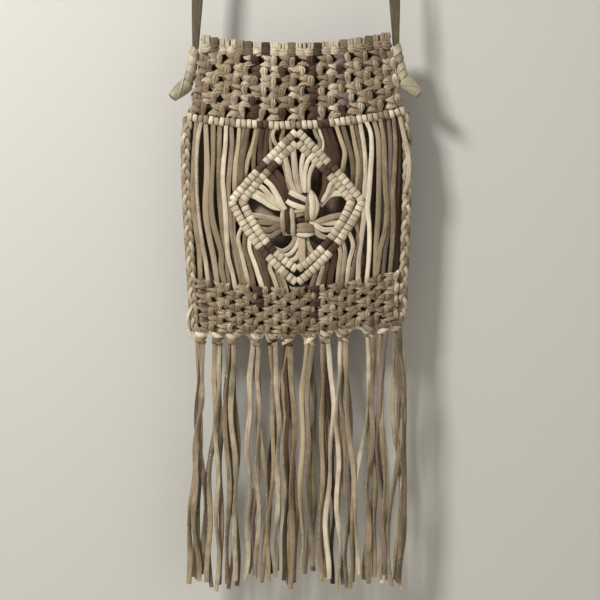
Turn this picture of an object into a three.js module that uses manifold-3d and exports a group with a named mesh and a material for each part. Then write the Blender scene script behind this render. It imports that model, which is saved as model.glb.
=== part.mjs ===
// A fringed shoulder bag, knotted from flat suede laces on a plain suede back.
// Millimetres, +Z up, the front faces -Y. The bag hangs: the origin is under the top of the strap's arch.
// The knotted front is laid out flat, across (x) and down (drop below the middle of the rim), and is then
// bellied forward by one function, so that it stands off the back panel and leaves a pouch between them.

import * as THREE from 'three';
import { mergeVertices } from 'three/addons/utils/BufferGeometryUtils.js';
import Module from 'manifold-3d';

const wasm = await Module();
wasm.setup();

// Laces, and the air between pieces that touch
const CLEARANCE = 0.3;
const LACE_WIDTH = 4.8;
const LACE_THICKNESS = 2;

// Shoulder strap
const STRAP_DROP = 460;
const STRAP_WIDTH = 11;
const STRAP_THICKNESS = 2.8;
const STRAP_FOOT_WIDTH = 6.4;
const STRAP_ARCH_RADIUS = 65;
const STRAP_EASE = 1.4;
const STRAP_STEPS = 36;

// Wrapped strap ends and their rolled beads
const WRAP_START = 15;
const WRAP_RADIUS = 4.6;
const WRAP_LENGTH = 36;
const WRAP_TURNS = 5;
const WRAP_LEAN = 2;
const BEAD_LENGTH = 19;
const BEAD_LEAN = 0.9;
const BEAD_RADIUS = 6.6;
const BEAD_TIP_RADIUS = 4.4;
const BEAD_HALF_DEPTH = 5.6;

// Back panel and the belly of the front
const BACK_THICKNESS = 2;
const BACK_FRONT_Y = 4;
const BELLY = 14;
const BELLY_AT_RIM = 0.7;
const BELLY_GROWTH = 0.6;

// Levels across the front: drops at the left side, in the middle and at the right side
const RIM = { left: -11, middle: -1, right: -14 };
const BAND_TOP = { left: 3.5, middle: 9.5, right: -0.5 };
const BAR = { left: 70, middle: 80, right: 64 };
const LOWER_TOP = { left: 231, middle: 246, right: 223 };
const LOWER_BOTTOM = { left: 283, middle: 286, right: 272 };
const BODY_HEIGHT = 290;
const LEVEL_CURVE = 1.8;

// Half widths of the knotted front
const RIM_HALF_WIDTH = 95;
const BAR_HALF_WIDTH = 108;
const BOTTOM_HALF_LEFT = 101;
const BOTTOM_HALF_RIGHT = 105;

// Holding cord and the mounting knots over it
const CORD_RADIUS = 1.5;
const CORD_DEPTH = 3;
const HEAD_DEPTH = 6.8;
const HEAD_WALL = 1.1;
const HEAD_GROOVE = 0.5;
const HEAD_SLOPE = 0.3;
const HEADS = 22;

// Square knots of the two bands: the upper one starts with a short row, the lower one with a full row
const UPPER_ROWS = { count: 6, firstShort: 1 };
const LOWER_ROWS = { count: 7, firstShort: 0 };
const KNOTS_ACROSS = 11;
const KNOT_GAP = 0.5;
const KNOT_BASE = 3.4;
const KNOT_CREST = 6.4;
const KNOT_TILT = 0.12;

// Half hitch rows: the bar and the diamond
const HITCH_PITCH = 5.5;
const HITCH_GROOVE = 0.76;
const BAR_RADIUS = 4;
const ROW_RADIUS = 3.85;
const HITCH_FLATNESS = 0.85;
const DIAMOND_CENTRE = 1;
const DIAMOND_HALF_WIDTH = 63.5;
const DIAMOND_MIDDLE = 155;
const DIAMOND_BOTTOM = LOWER_TOP.middle - 10;
const UPPER_BOW = 1.5;
const LOWER_BOW = 6.5;

// Centre knot: middle, half width and half height of each wound wrap, in the flat layout
const RIGHT_WRAP = { x: 16, drop: 160, half: 8, tall: 16 };
const LEFT_WRAP = { x: -8, drop: 177, half: 7.3, tall: 15 };
const LOWER_WRAP = { x: 9.6, drop: 184, half: 9.8, tall: 7 };
const WRAP_DEPTH = 6;
const WRAP_END_SHARE = 0.78;
const GATHER_LAYER = 1.2;
const GATHER_SAG = 1.5;
const NECK_LENGTH = 6;
const NECK_TAPER = 0.9;

// Hanging laces beside the diamond
const HANGERS = 7;
const HANGER_LAYER = 1.35;
const HANGER_DRAW_IN = 6;

// Braided side lacings
const BRAID_WIDTH = 10;
const BRAID_DEPTH = 6;
const BRAID_LINK = 10.3;
const BRAID_POINT = 4;
const BRAID_BOW = 3.5;

// Tassels: place of the knot across, where the lace ends hang between, and their length
const TASSEL_KNOT_WIDTH = 11.4;
const TASSEL_KNOT_HEIGHT = 12;
const TASSEL_KNOT_END_SHARE = 0.66;
const TASSEL_LACE_WIDTH = 4.2;
const TASSEL_LAYER = 1.7;
const TASSEL_WAVE = 0.8;
const TASSEL_TWIST = 0.2;
const TASSEL_UNEVEN = 9;
const TASSEL_SPREAD = [0, 0.66, 0.34, 1];
const TASSELS = [
  { x: -95.5, from: -109, to: -91.5, length: 246 },
  { x: -78.5, from: -90, to: -73.5, length: 252 },
  { x: -64.5, from: -72.5, to: -57, length: 250 },
  { x: -40, from: -54, to: -32, length: 243 },
  { x: -23.5, from: -31, to: -16.5, length: 240 },
  { x: -8.5, from: -15.5, to: 1, length: 249 },
  { x: 13.5, from: 3, to: 20.5, length: 236 },
  { x: 29, from: 21.5, to: 38, length: 247 },
  { x: 47, from: 40, to: 59, length: 256 },
  { x: 73.5, from: 61, to: 79.5, length: 252 },
  { x: 87, from: 80.5, to: 92.5, length: 254 },
  { x: 100.5, from: 93.5, to: 108, length: 262 },
];

// Worked out from the sizes above
const FRONT = new THREE.Vector3(0, -1, 0);
const WALL_BACK_Y = BACK_FRONT_Y - CLEARANCE;
const WALL_MIDDLE = HEAD_DEPTH / 2;
const RIM_Z = -STRAP_DROP;

const point = (x, drop, depth = WALL_MIDDLE) => new THREE.Vector3(x, -depth, -drop);
const mix = (a, b, t) => a + (b - a) * t;

// Colours of the suede and leather
const CREAM = 0xcfc4aa;
const TAUPE = 0x97887a;
const OLIVE = 0x8d806a;
const BROWN = 0x4a3129;
const finish = (color, roughness = 0.9) => new THREE.MeshStandardMaterial({ color, roughness, metalness: 0 });

// The layout of the front

function level(sides, x, half) {
  const u = x / half;
  const lean = (sides.right - sides.left) / 2;
  const smile = (sides.left + sides.right) / 2 - sides.middle;
  return sides.middle + lean * u + smile * Math.abs(u) ** LEVEL_CURVE;
}

const rimDrop = (x) => level(RIM, x, RIM_HALF_WIDTH);
const bandTopDrop = (x) => level(BAND_TOP, x, RIM_HALF_WIDTH);
const barDrop = (x) => level(BAR, x, BAR_HALF_WIDTH);
const lowerTopDrop = (x) => level(LOWER_TOP, x, BAR_HALF_WIDTH);
const lowerBottomDrop = (x) => level(LOWER_BOTTOM, x, BAR_HALF_WIDTH);

// Half width of the upper band, from the rim down to the bar
function upperHalf(drop) {
  const t = THREE.MathUtils.clamp(drop / BAR.middle, -0.2, 1);
  return mix(RIM_HALF_WIDTH, BAR_HALF_WIDTH, t);
}

// The line that a side lacing follows, for side -1 (left) or 1 (right)
function braidLine(side, drop) {
  const t = (drop - BAR.middle) / (BODY_HEIGHT - BAR.middle);
  const bottom = side < 0 ? BOTTOM_HALF_LEFT : BOTTOM_HALF_RIGHT;
  const bow = BRAID_BOW * Math.sin(Math.PI * Math.sqrt(Math.max(t, 0)));
  return side * (mix(BAR_HALF_WIDTH + CLEARANCE, bottom, t) + bow);
}

// How far the front stands off the back: most in the middle, nothing at the sides and the bottom
function belly(x, drop) {
  const across = Math.max(0, 1 - (x / BAR_HALF_WIDTH) ** 2);
  const t = THREE.MathUtils.clamp(drop / BODY_HEIGHT, 0, 1);
  return BELLY * across * (BELLY_AT_RIM + BELLY_GROWTH * t) * (1 - t ** 4);
}

// Closed meshes from rings and faces

function closedMesh(points, faces) {
  let volume = 0;
  for (const [a, b, c] of faces) {
    volume += points[a].dot(new THREE.Vector3().crossVectors(points[b], points[c]));
  }
  const index = volume < 0 ? faces.map(([a, b, c]) => [a, c, b]) : faces;
  const geometry = new THREE.BufferGeometry().setFromPoints(points);
  geometry.setIndex(index.flat());
  return geometry;
}

// Skins a row of rings and caps both ends; flat is the outline of a ring, for a cap that isn't convex
function loft(rings, flat = null) {
  const size = rings[0].length;
  const faces = [];
  for (let r = 0; r + 1 < rings.length; r += 1) {
    for (let k = 0; k < size; k += 1) {
      const a = r * size + k;
      const b = r * size + ((k + 1) % size);
      faces.push([a, b, b + size], [a, b + size, a + size]);
    }
  }
  const last = (rings.length - 1) * size;
  for (const [a, b, c] of capFaces(size, flat)) {
    faces.push([a, c, b], [last + a, last + b, last + c]);
  }
  return closedMesh(rings.flat(), faces);
}

// Triangles over a ring, in the ring's own order
function capFaces(size, flat) {
  if (!flat) return Array.from({ length: size - 2 }, (_, k) => [0, k + 1, k + 2]);
  const faces = THREE.ShapeUtils.triangulateShape([...flat], []);
  const same = THREE.ShapeUtils.area(flat) * THREE.ShapeUtils.area(faces[0].map((k) => flat[k])) > 0;
  return same ? faces : faces.map(([a, b, c]) => [a, c, b]);
}

// A ring of [across, outward] pairs round a point of a path, with its flat side turned by an angle
function ringAt(centre, tangent, section, turn = 0) {
  const side = new THREE.Vector3().crossVectors(tangent, FRONT).normalize();
  const out = new THREE.Vector3().crossVectors(side, tangent).normalize();
  const c = Math.cos(turn);
  const s = Math.sin(turn);
  return section.map(([across, outward]) => centre.clone()
    .addScaledVector(side, across * c - outward * s)
    .addScaledVector(out, across * s + outward * c));
}

const slab = (width, thickness) => [
  [-width / 2, -thickness / 2], [width / 2, -thickness / 2],
  [width / 2, thickness / 2], [-width / 2, thickness / 2],
];

function oval(across, outward, sides) {
  return Array.from({ length: sides }, (_, k) => {
    const angle = (k / sides) * 2 * Math.PI;
    return [across * Math.cos(angle), outward * Math.sin(angle)];
  });
}

// Slides the points of an end ring along the path until they lie on a plane
function cutOn(ring, tangent, plane) {
  for (const p of ring) {
    p.addScaledVector(tangent, -plane.distanceToPoint(p) / plane.normal.dot(tangent));
  }
}

const planeAt = (x, drop, nx, nz) => new THREE.Plane().setFromNormalAndCoplanarPoint(
  new THREE.Vector3(nx, 0, nz).normalize(), point(x, drop));

const smooth = (points) => new THREE.CatmullRomCurve3(points, false, 'centripetal');

// A flat lace along a path, its ends cut square or on a plane
function lace(points, steps, { width = LACE_WIDTH, turn = null, start, end } = {}) {
  const path = smooth(points);
  const rings = [];
  for (let i = 0; i <= steps; i += 1) {
    const tangent = path.getTangentAt(i / steps);
    const angle = turn ? turn(i / steps) : 0;
    rings.push(ringAt(path.getPointAt(i / steps), tangent, slab(width, LACE_THICKNESS), angle));
  }
  if (start) cutOn(rings[0], path.getTangentAt(0), start);
  if (end) cutOn(rings[steps], path.getTangentAt(1), end);
  return loft(rings);
}

// A cord covered by wound laces: each turn is a crest between two grooves
function woundCord(points, turns, radii, { sides = 4, ends = 0, start, end, swell = null } = {}) {
  const path = smooth(points);
  const length = path.getLength();
  const stations = [0];
  for (let k = 0; k <= 2 * turns; k += 1) {
    const at = ends + ((length - 2 * ends) * k) / (2 * turns);
    if (at > 0 && at < length) stations.push(at);
  }
  stations.push(length);
  const rings = stations.map((at) => {
    const u = at / length;
    const turned = ((at - ends) / (length - 2 * ends)) * 2 * turns;
    const crest = (ends > 0 && (at === 0 || at === length)) || Math.round(turned) % 2 !== 0;
    const scale = (crest ? 1 : HITCH_GROOVE) * (swell ? swell(u) : 1);
    return ringAt(path.getPointAt(u), path.getTangentAt(u), oval(radii[0] * scale, radii[1] * scale, sides));
  });
  if (start) cutOn(rings[0], path.getTangentAt(0), start);
  if (end) cutOn(rings[rings.length - 1], path.getTangentAt(1), end);
  return loft(rings);
}

// Joins overlapping closed meshes into one
function joined(parts) {
  const solids = parts.map((geometry) => new wasm.Manifold(new wasm.Mesh({
    numProp: 3,
    vertProperties: new Float32Array(geometry.attributes.position.array),
    triVerts: new Uint32Array(geometry.index.array),
  })));
  const mesh = solids.reduce((whole, next) => whole.add(next)).getMesh();
  const geometry = new THREE.BufferGeometry();
  geometry.setAttribute('position', new THREE.BufferAttribute(new Float32Array(mesh.vertProperties), 3));
  geometry.setIndex([...mesh.triVerts]);
  return geometry;
}

// Bellies a piece of the flat layout forward and hangs it under the strap
function hang(geometry) {
  const place = geometry.attributes.position;
  for (let i = 0; i < place.count; i += 1) {
    place.setY(i, place.getY(i) + WALL_BACK_Y - belly(place.getX(i), -place.getZ(i)));
    place.setZ(i, place.getZ(i) + RIM_Z);
  }
  return geometry;
}

function piece(name, geometry, material) {
  geometry.computeVertexNormals();
  const mesh = new THREE.Mesh(geometry, material);
  mesh.name = name;
  return mesh;
}

// Bands of alternating square knots

// The eight corners of knot (i, j): each cut corner is shared with the next knot on that diagonal
function knotCorners(i, j) {
  const g = KNOT_GAP / 2;
  return [
    [i + 1 + g, j + g], [i + 1 + g, j + 1 - g], [i + 1 - g, j + 1 + g], [i + g, j + 1 + g],
    [i - g, j + 1 - g], [i - g, j + g], [i + g, j - g], [i + 1 - g, j - g],
  ];
}

// Every knot of a band, with full rows and short rows by turns
function bandKnots({ count, firstShort }) {
  const knots = [];
  for (let j = 0; j < count; j += 1) {
    for (let i = (j + firstShort) % 2; i < 2 * KNOTS_ACROSS - 1; i += 2) knots.push([i, j]);
  }
  return knots;
}

// Maps the grid of a band to the flat layout, between its side lines and its upper and lower lines
function bandLayout({ rows, top, bottom, left, right }) {
  const margin = KNOT_GAP / 2;
  return ([a, b]) => {
    const u = (a + margin) / (2 * KNOTS_ACROSS - 1 + 2 * margin);
    const v = (b + margin) / (rows.count + 2 * margin);
    let x = 0;
    let drop = 0;
    for (let round = 0; round < 4; round += 1) {
      drop = mix(top(x), bottom(x), v);
      x = mix(left(drop), right(drop), u);
    }
    return { x, drop };
  };
}

function knotBand({ rows, layout }) {
  const points = [];
  const faces = [];
  const known = new Map();
  const open = new Map();
  const vertex = (corner, depth) => {
    const key = `${corner[0].toFixed(3)} ${corner[1].toFixed(3)} ${depth}`;
    if (!known.has(key)) {
      const { x, drop } = layout(corner);
      known.set(key, points.push(point(x, drop, depth)) - 1);
    }
    return known.get(key);
  };
  for (const [i, j] of bandKnots(rows)) {
    const corners = knotCorners(i, j);
    const front = corners.map((corner) => vertex(corner, KNOT_BASE));
    const back = [[i + 1, j], [i + 1, j + 1], [i, j + 1], [i, j]].map((corner) => vertex(corner, 0));
    const tilt = Math.floor((i + j) / 2) % 2 === 0 ? KNOT_TILT : -KNOT_TILT;
    const right = vertex([i + 0.86, j + 0.5 + tilt], KNOT_CREST);
    const left = vertex([i + 0.14, j + 0.5 - tilt], KNOT_CREST);
    faces.push([right, front[7], front[0]], [right, front[0], front[1]], [right, front[1], front[2]]);
    faces.push([left, front[3], front[4]], [left, front[4], front[5]], [left, front[5], front[6]]);
    faces.push([right, front[2], front[3]], [right, front[3], left]);
    faces.push([left, front[6], front[7]], [left, front[7], right]);
    faces.push([back[0], back[2], back[1]], [back[0], back[3], back[2]]);
    for (let k = 0; k < 8; k += 1) {
      const n = (k + 1) % 8;
      const twin = `${front[n]} ${front[k]}`;
      const [near, far] = [back[Math.floor(((k + 1) % 8) / 2) % 4], back[Math.floor(((n + 1) % 8) / 2) % 4]];
      if (open.has(twin)) open.delete(twin);
      else open.set(`${front[k]} ${front[n]}`, [front[k], front[n], far, near]);
    }
  }
  for (const [a, b, c, d] of open.values()) {
    faces.push([b, a, d]);
    if (c !== d) faces.push([b, d, c]);
  }
  return closedMesh(points, faces);
}

// The first drop at which a band stands in the way of a lace that comes from above, or from below
function bandEdge({ rows, layout }, x, half, fromAbove) {
  let edge = fromAbove ? Infinity : -Infinity;
  for (const [i, j] of bandKnots(rows)) {
    const outline = knotCorners(i, j).map(layout);
    outline.forEach((a, k) => {
      const b = outline[(k + 1) % outline.length];
      const low = Math.max(Math.min(a.x, b.x), x - half);
      const high = Math.min(Math.max(a.x, b.x), x + half);
      if (low > high) return;
      for (const at of [low, high]) {
        const t = a.x === b.x ? 0 : (at - a.x) / (b.x - a.x);
        const drop = mix(a.drop, b.drop, t);
        edge = fromAbove ? Math.min(edge, drop) : Math.max(edge, drop);
      }
    });
  }
  return edge;
}

const knottedBand = (lines) => ({ rows: lines.rows, layout: bandLayout(lines) });

const UPPER_BAND = knottedBand({
  rows: UPPER_ROWS,
  top: bandTopDrop,
  bottom: (x) => barDrop(x) - BAR_RADIUS - CLEARANCE,
  left: (drop) => -upperHalf(drop),
  right: upperHalf,
});

const braidInner = (side, drop) => braidLine(side, drop) - side * (BRAID_WIDTH / 2 + CLEARANCE);
const LOWER_BAND = knottedBand({
  rows: LOWER_ROWS,
  top: lowerTopDrop,
  bottom: lowerBottomDrop,
  left: (drop) => braidInner(-1, drop),
  right: (drop) => braidInner(1, drop),
});

// The diamond

const DIAMOND_TIP = ROW_RADIUS * Math.SQRT2;
const DIAMOND_TOP = BAR.middle + BAR_RADIUS + CLEARANCE + DIAMOND_TIP;

// The four corners of the diamond's outer line, drawn in by an inset
function diamondCorners(inset) {
  const upper = Math.hypot(DIAMOND_HALF_WIDTH, DIAMOND_MIDDLE - DIAMOND_TOP);
  const lower = Math.hypot(DIAMOND_HALF_WIDTH, DIAMOND_BOTTOM - DIAMOND_MIDDLE);
  const half = DIAMOND_HALF_WIDTH - (inset * upper) / (DIAMOND_MIDDLE - DIAMOND_TOP);
  return {
    top: [DIAMOND_CENTRE, DIAMOND_TOP + (inset * upper) / DIAMOND_HALF_WIDTH],
    bottom: [DIAMOND_CENTRE, DIAMOND_BOTTOM - (inset * lower) / DIAMOND_HALF_WIDTH],
    left: [DIAMOND_CENTRE - half, DIAMOND_MIDDLE],
    right: [DIAMOND_CENTRE + half, DIAMOND_MIDDLE],
  };
}

const rowInset = (row) => row * (2 * ROW_RADIUS + CLEARANCE);

const DIAMOND_SIDES = [
  { name: 'upper_left', end: 'top', side: 'left', bow: UPPER_BOW },
  { name: 'upper_right', end: 'top', side: 'right', bow: UPPER_BOW },
  { name: 'lower_left', end: 'bottom', side: 'left', bow: LOWER_BOW },
  { name: 'lower_right', end: 'bottom', side: 'right', bow: LOWER_BOW },
];

// A point on a side of the diamond: t runs from its tip to its side corner, and the side bows outwards
function sidePoint({ end, side, bow }, inset, t) {
  const corners = diamondCorners(inset);
  const tip = new THREE.Vector2(...corners[end]);
  const corner = new THREE.Vector2(...corners[side]);
  const run = corner.clone().sub(tip).normalize();
  const outward = new THREE.Vector2(Math.abs(run.y) * Math.sign(run.x), Math.abs(run.x) * -Math.sign(run.y));
  return tip.lerp(corner, t).addScaledVector(outward, 4 * bow * t * (1 - t));
}

// One row of half hitches, mitred against its neighbours at both corners
function diamondRow(diamondSide, row) {
  const inset = rowInset(row);
  const points = [0, 0.25, 0.5, 0.75, 1].map((t) => {
    const at = sidePoint(diamondSide, inset, t);
    return point(at.x, at.y);
  });
  const sideways = diamondSide.side === 'left' ? -1 : 1;
  const upward = diamondSide.end === 'top' ? -1 : 1;
  const start = planeAt(DIAMOND_CENTRE + (sideways * CLEARANCE) / 2, 0, 1, 0);
  const stop = planeAt(0, DIAMOND_MIDDLE + (upward * CLEARANCE) / 2, 0, 1);
  const ends = ROW_RADIUS * 1.5;
  const turns = Math.round((smooth(points).getLength() - 2 * ends) / HITCH_PITCH);
  return woundCord(points, turns, [ROW_RADIUS, ROW_RADIUS * HITCH_FLATNESS], { ends, start, end: stop });
}

// Where a lace ends on the flank of a row, seen from outside (1) or inside (-1) the diamond
function rowFlank(diamondSide, row, outside, t) {
  const inset = rowInset(row) - outside * (ROW_RADIUS + CLEARANCE);
  const at = sidePoint(diamondSide, inset, t);
  const run = sidePoint(diamondSide, inset, t + 0.01).sub(sidePoint(diamondSide, inset, t - 0.01));
  return { x: at.x, drop: at.y, plane: planeAt(at.x, at.y, run.y, run.x) };
}

// Short laces from the bar down to the diamond, and from the diamond down to the lower band
const SHORT_LACES = [0.22, 0.37, 0.52, 0.67, 0.82];

function lacesToDiamond() {
  return DIAMOND_SIDES.filter(({ end }) => end === 'top').flatMap((side) => SHORT_LACES.map((t) => {
    const { x, drop, plane } = rowFlank(side, 0, 1, t);
    return lace([point(x, barDrop(x)), point(x, drop)], 1, { end: plane });
  }));
}

function lacesFromDiamond() {
  const depth = KNOT_BASE / 2;
  return DIAMOND_SIDES.filter(({ end }) => end === 'bottom').flatMap((side) => SHORT_LACES.map((t) => {
    const { x, drop, plane } = rowFlank(side, 0, 1, t);
    const into = lowerTopDrop(x) + (LOWER_BOTTOM.middle - LOWER_TOP.middle) / 3;
    return lace([point(x, drop, depth), point(x, into, depth)], 2, { start: plane });
  }));
}

// Laces gathered from an inner row into a neck, which meets one face of a wrap of the centre knot
function gatheredLaces({ side, along, wrap, face, first, last }) {
  const upright = face === 'left' || face === 'right';
  const away = face === 'left' || face === 'top' ? -1 : 1;
  const reach = (upright ? wrap.half : wrap.tall) + CLEARANCE;
  const onFace = (offset, out) => (upright
    ? [wrap.x + away * (reach + out), wrap.drop + offset]
    : [wrap.x + offset, wrap.drop + away * (reach + out)]);
  const laces = along.map((t, k) => {
    const flank = rowFlank(side, 1, -1, t);
    const depth = WALL_MIDDLE + (k % 2 ? GATHER_LAYER : -GATHER_LAYER);
    const from = point(flank.x, flank.drop, depth);
    const to = point(...onFace(mix(first, last, k / (along.length - 1)), NECK_LENGTH / 2), depth);
    const middle = from.clone().lerp(to, 0.5).add(new THREE.Vector3(0, 0, -GATHER_SAG));
    return lace([from, middle, to], 3, { start: flank.plane });
  });
  const wide = (Math.abs(last - first) + LACE_WIDTH) / 2;
  const deep = GATHER_LAYER + LACE_THICKNESS / 2 + CLEARANCE;
  const centre = (first + last) / 2;
  const ring = (out, half) => [[-half, -deep], [half, -deep], [half, deep], [-half, deep]].map(
    ([offset, depth]) => point(...onFace(centre + offset, out), WALL_MIDDLE + depth));
  const neck = loft([ring(0, wide * NECK_TAPER), ring(NECK_LENGTH, wide)]);
  return joined([neck, ...laces]);
}

function centreWrap({ x, drop, half, tall }, upright) {
  const long = upright ? tall : half;
  const wide = upright ? half : tall;
  const from = upright ? point(x, drop - tall) : point(x - half, drop);
  const to = upright ? point(x, drop + tall) : point(x + half, drop);
  const turns = Math.round((2 * long) / LACE_WIDTH);
  const swell = (u) => mix(WRAP_END_SHARE, 1, Math.sin(Math.PI * u));
  return woundCord([from, to], turns, [wide, WRAP_DEPTH], { sides: 6, swell });
}

// Hanging laces beside the diamond, in two layers
function hangingLace(side, k) {
  const inner = (drop) => {
    const near = 1 - Math.min(1, Math.abs(drop - DIAMOND_MIDDLE) / (DIAMOND_BOTTOM - DIAMOND_MIDDLE));
    const reach = DIAMOND_HALF_WIDTH + DIAMOND_TIP + CLEARANCE - HANGER_DRAW_IN * (1 - near);
    return DIAMOND_CENTRE + side * reach;
  };
  const across = (drop) => mix(inner(drop) + side * LACE_WIDTH / 2,
    braidInner(side, drop) - side * (LACE_WIDTH / 2 + CLEARANCE), k / (HANGERS - 1));
  const layer = WALL_MIDDLE + (k % 2 ? -HANGER_LAYER : HANGER_LAYER);
  const guess = across(BAR.middle);
  const top = barDrop(guess) + BAR_RADIUS + CLEARANCE;
  const foot = across(LOWER_TOP.middle);
  const bottom = bandEdge(LOWER_BAND, foot, LACE_WIDTH / 2 + CLEARANCE, true) - CLEARANCE;
  const drops = [0, 0.25, 0.5, 0.75, 1].map((t) => mix(top, bottom, t));
  const points = drops.map((drop) => point(across(drop), drop, layer));
  points[points.length - 1].x = foot;
  return lace(points, 5, { start: planeAt(0, top, 0, 1), end: planeAt(0, bottom, 0, 1) });
}

// Side lacing: a strip of chevrons, each with a raised lobe at both sides of its point
function sideBraid(side) {
  const top = barDrop(side * BAR_HALF_WIDTH) + BAR_RADIUS + CLEARANCE;
  const bottom = level(LOWER_BOTTOM, side * BAR_HALF_WIDTH, BAR_HALF_WIDTH);
  const links = Math.round((bottom - top) / BRAID_LINK);
  const points = [];
  const faces = [];
  const add = (x, drop, depth) => points.push(point(x, drop, depth)) - 1;
  const rows = [];
  for (let k = 0; k <= links; k += 1) {
    const drop = mix(top, bottom - BRAID_POINT, k / links);
    const x = braidLine(side, drop);
    rows.push({
      left: add(x - BRAID_WIDTH / 2, drop, BRAID_DEPTH / 2),
      middle: add(x, drop + BRAID_POINT, BRAID_DEPTH * 0.6),
      right: add(x + BRAID_WIDTH / 2, drop, BRAID_DEPTH / 2),
      backLeft: add(x - BRAID_WIDTH / 2, drop, 0),
      backRight: add(x + BRAID_WIDTH / 2, drop, 0),
    });
  }
  const lobe = (a, b, c, d) => {
    const centre = [a, b, c, d].reduce((sum, v) => sum.add(points[v]), new THREE.Vector3()).divideScalar(4);
    const crest = points.push(new THREE.Vector3(centre.x, -BRAID_DEPTH, centre.z)) - 1;
    faces.push([a, b, crest], [b, c, crest], [c, d, crest], [d, a, crest]);
  };
  for (let k = 0; k < links; k += 1) {
    const a = rows[k];
    const b = rows[k + 1];
    lobe(a.left, a.middle, b.middle, b.left);
    lobe(a.middle, a.right, b.right, b.middle);
    faces.push([a.backLeft, b.backLeft, b.backRight], [a.backLeft, b.backRight, a.backRight]);
    faces.push([a.left, b.left, b.backLeft], [a.left, b.backLeft, a.backLeft]);
    faces.push([a.right, b.backRight, b.right], [a.right, a.backRight, b.backRight]);
  }
  const first = rows[0];
  const last = rows[links];
  faces.push([first.left, first.backLeft, first.middle], [first.middle, first.backLeft, first.backRight]);
  faces.push([first.middle, first.backRight, first.right]);
  faces.push([last.left, last.middle, last.backLeft], [last.middle, last.backRight, last.backLeft]);
  faces.push([last.middle, last.right, last.backRight]);
  return closedMesh(points, faces);
}

// Rim: the holding cord, and the heads that hook over it

const CORD_DROP = HEAD_WALL + HEAD_GROOVE + CLEARANCE + CORD_RADIUS;
const rimPath = (half, below) => Array.from({ length: 9 }, (_, k) => {
  const x = mix(-half, half, k / 8);
  return point(x, rimDrop(x) + below, CORD_DEPTH);
});

function holdingCord() {
  const path = smooth(rimPath(RIM_HALF_WIDTH, CORD_DROP));
  const rings = Array.from({ length: 13 }, (_, k) => ringAt(
    path.getPointAt(k / 12), path.getTangentAt(k / 12), oval(CORD_RADIUS, CORD_RADIUS, 5)));
  return loft(rings);
}

// A head's section is a hook over the cord, given as [depth, drop below the rim]; it reaches down to the band
function mountingKnots() {
  const inner = CORD_RADIUS + CLEARANCE;
  const lip = KNOT_BASE - CLEARANCE / 2;
  const rings = [];
  let flat = null;
  for (let k = 0; k <= 2 * HEADS; k += 1) {
    const x = mix(-RIM_HALF_WIDTH + 1, RIM_HALF_WIDTH - 1, k / (2 * HEADS));
    const sink = k % 2 ? 0 : HEAD_GROOVE;
    const top = CORD_DROP - inner;
    const foot = bandTopDrop(x) - CLEARANCE - rimDrop(x);
    const section = [
      [HEAD_DEPTH - sink, foot], [HEAD_DEPTH - HEAD_SLOPE - sink, sink],
      [HEAD_SLOPE, sink], [0, foot],
      [CORD_DEPTH - inner, foot], [CORD_DEPTH - inner, top],
      [HEAD_DEPTH - HEAD_WALL - HEAD_SLOPE, top], [lip, foot],
    ];
    flat = flat || section.map(([depth, below]) => new THREE.Vector2(depth, below));
    rings.push(section.map(([depth, below]) => point(x, rimDrop(x) + below, depth)));
  }
  return loft(rings, flat);
}

// Bar of half hitches under the upper band
function cordingBar() {
  const reach = BAR_HALF_WIDTH + 1;
  const path = Array.from({ length: 13 }, (_, k) => {
    const x = mix(-reach, reach, k / 12);
    return point(x, barDrop(x));
  });
  const turns = Math.round((2 * reach) / HITCH_PITCH);
  return woundCord(path, turns, [BAR_RADIUS, BAR_RADIUS * HITCH_FLATNESS]);
}

// Tassel: an overhand knot and the lace ends that come out of it, in two layers
function tassel({ x, from, to, length }, index) {
  const half = TASSEL_KNOT_WIDTH / 2;
  const top = bandEdge(LOWER_BAND, x, half * TASSEL_KNOT_END_SHARE, false) + CLEARANCE;
  const depth = half - (BACK_FRONT_Y + BACK_THICKNESS - WALL_BACK_Y);
  const swell = (u) => mix(TASSEL_KNOT_END_SHARE, 1, Math.sin(Math.PI * mix(0.1, 0.9, u)));
  const spine = [point(x, top, depth), point(x, top + TASSEL_KNOT_HEIGHT, depth)];
  const knot = woundCord(spine, 2, [half, half * 0.95], { sides: 6, swell });
  const near = TASSEL_LACE_WIDTH / 2 + CLEARANCE;
  const laces = TASSEL_SPREAD.map((place, k) => {
    const phase = index * 1.7 + (k < 2 ? 0 : 2.1);
    const wave = (t) => TASSEL_WAVE * Math.sin(t * 5.5 + phase) * Math.sin(Math.PI * t);
    const foot = mix(from + near, to - near, place);
    const end = length - TASSEL_UNEVEN * ((index * 3 + k * 5) % 4) / 3;
    const layer = depth + (k < 2 ? TASSEL_LAYER : -TASSEL_LAYER);
    const points = [0, 0.12, 0.3, 0.6, 0.8, 1].map((t) => {
      const across = mix(x + (k % 2 ? near : -near), foot, THREE.MathUtils.smoothstep(t, 0.04, 0.7));
      return point(across + wave(t), top + TASSEL_KNOT_HEIGHT / 2 + end * t, layer);
    });
    const turn = (t) => TASSEL_TWIST * Math.sin(t * 3 + k + index);
    return lace(points, 4, { width: TASSEL_LACE_WIDTH, turn });
  });
  return joined([knot, ...laces]);
}

// Back panel: its outline runs up one side, along the rim and down the other side

const backBottom = (x) => level(LOWER_BOTTOM, x, BAR_HALF_WIDTH) - CLEARANCE;

function backSide(side) {
  const outline = [];
  const shoulder = barDrop(side * BAR_HALF_WIDTH) - BAR_RADIUS;
  for (const t of [1, 0.75, 0.5, 0.25, 0]) {
    const drop = mix(shoulder + BAR_RADIUS, backBottom(side * BOTTOM_HALF_LEFT), t);
    outline.push([braidLine(side, drop) + (side * BRAID_WIDTH) / 2, drop]);
  }
  for (const t of [1, 0.5, 0]) {
    const drop = mix(rimDrop(side * RIM_HALF_WIDTH), shoulder, t);
    outline.push([side * upperHalf(drop), drop]);
  }
  return outline;
}

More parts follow.
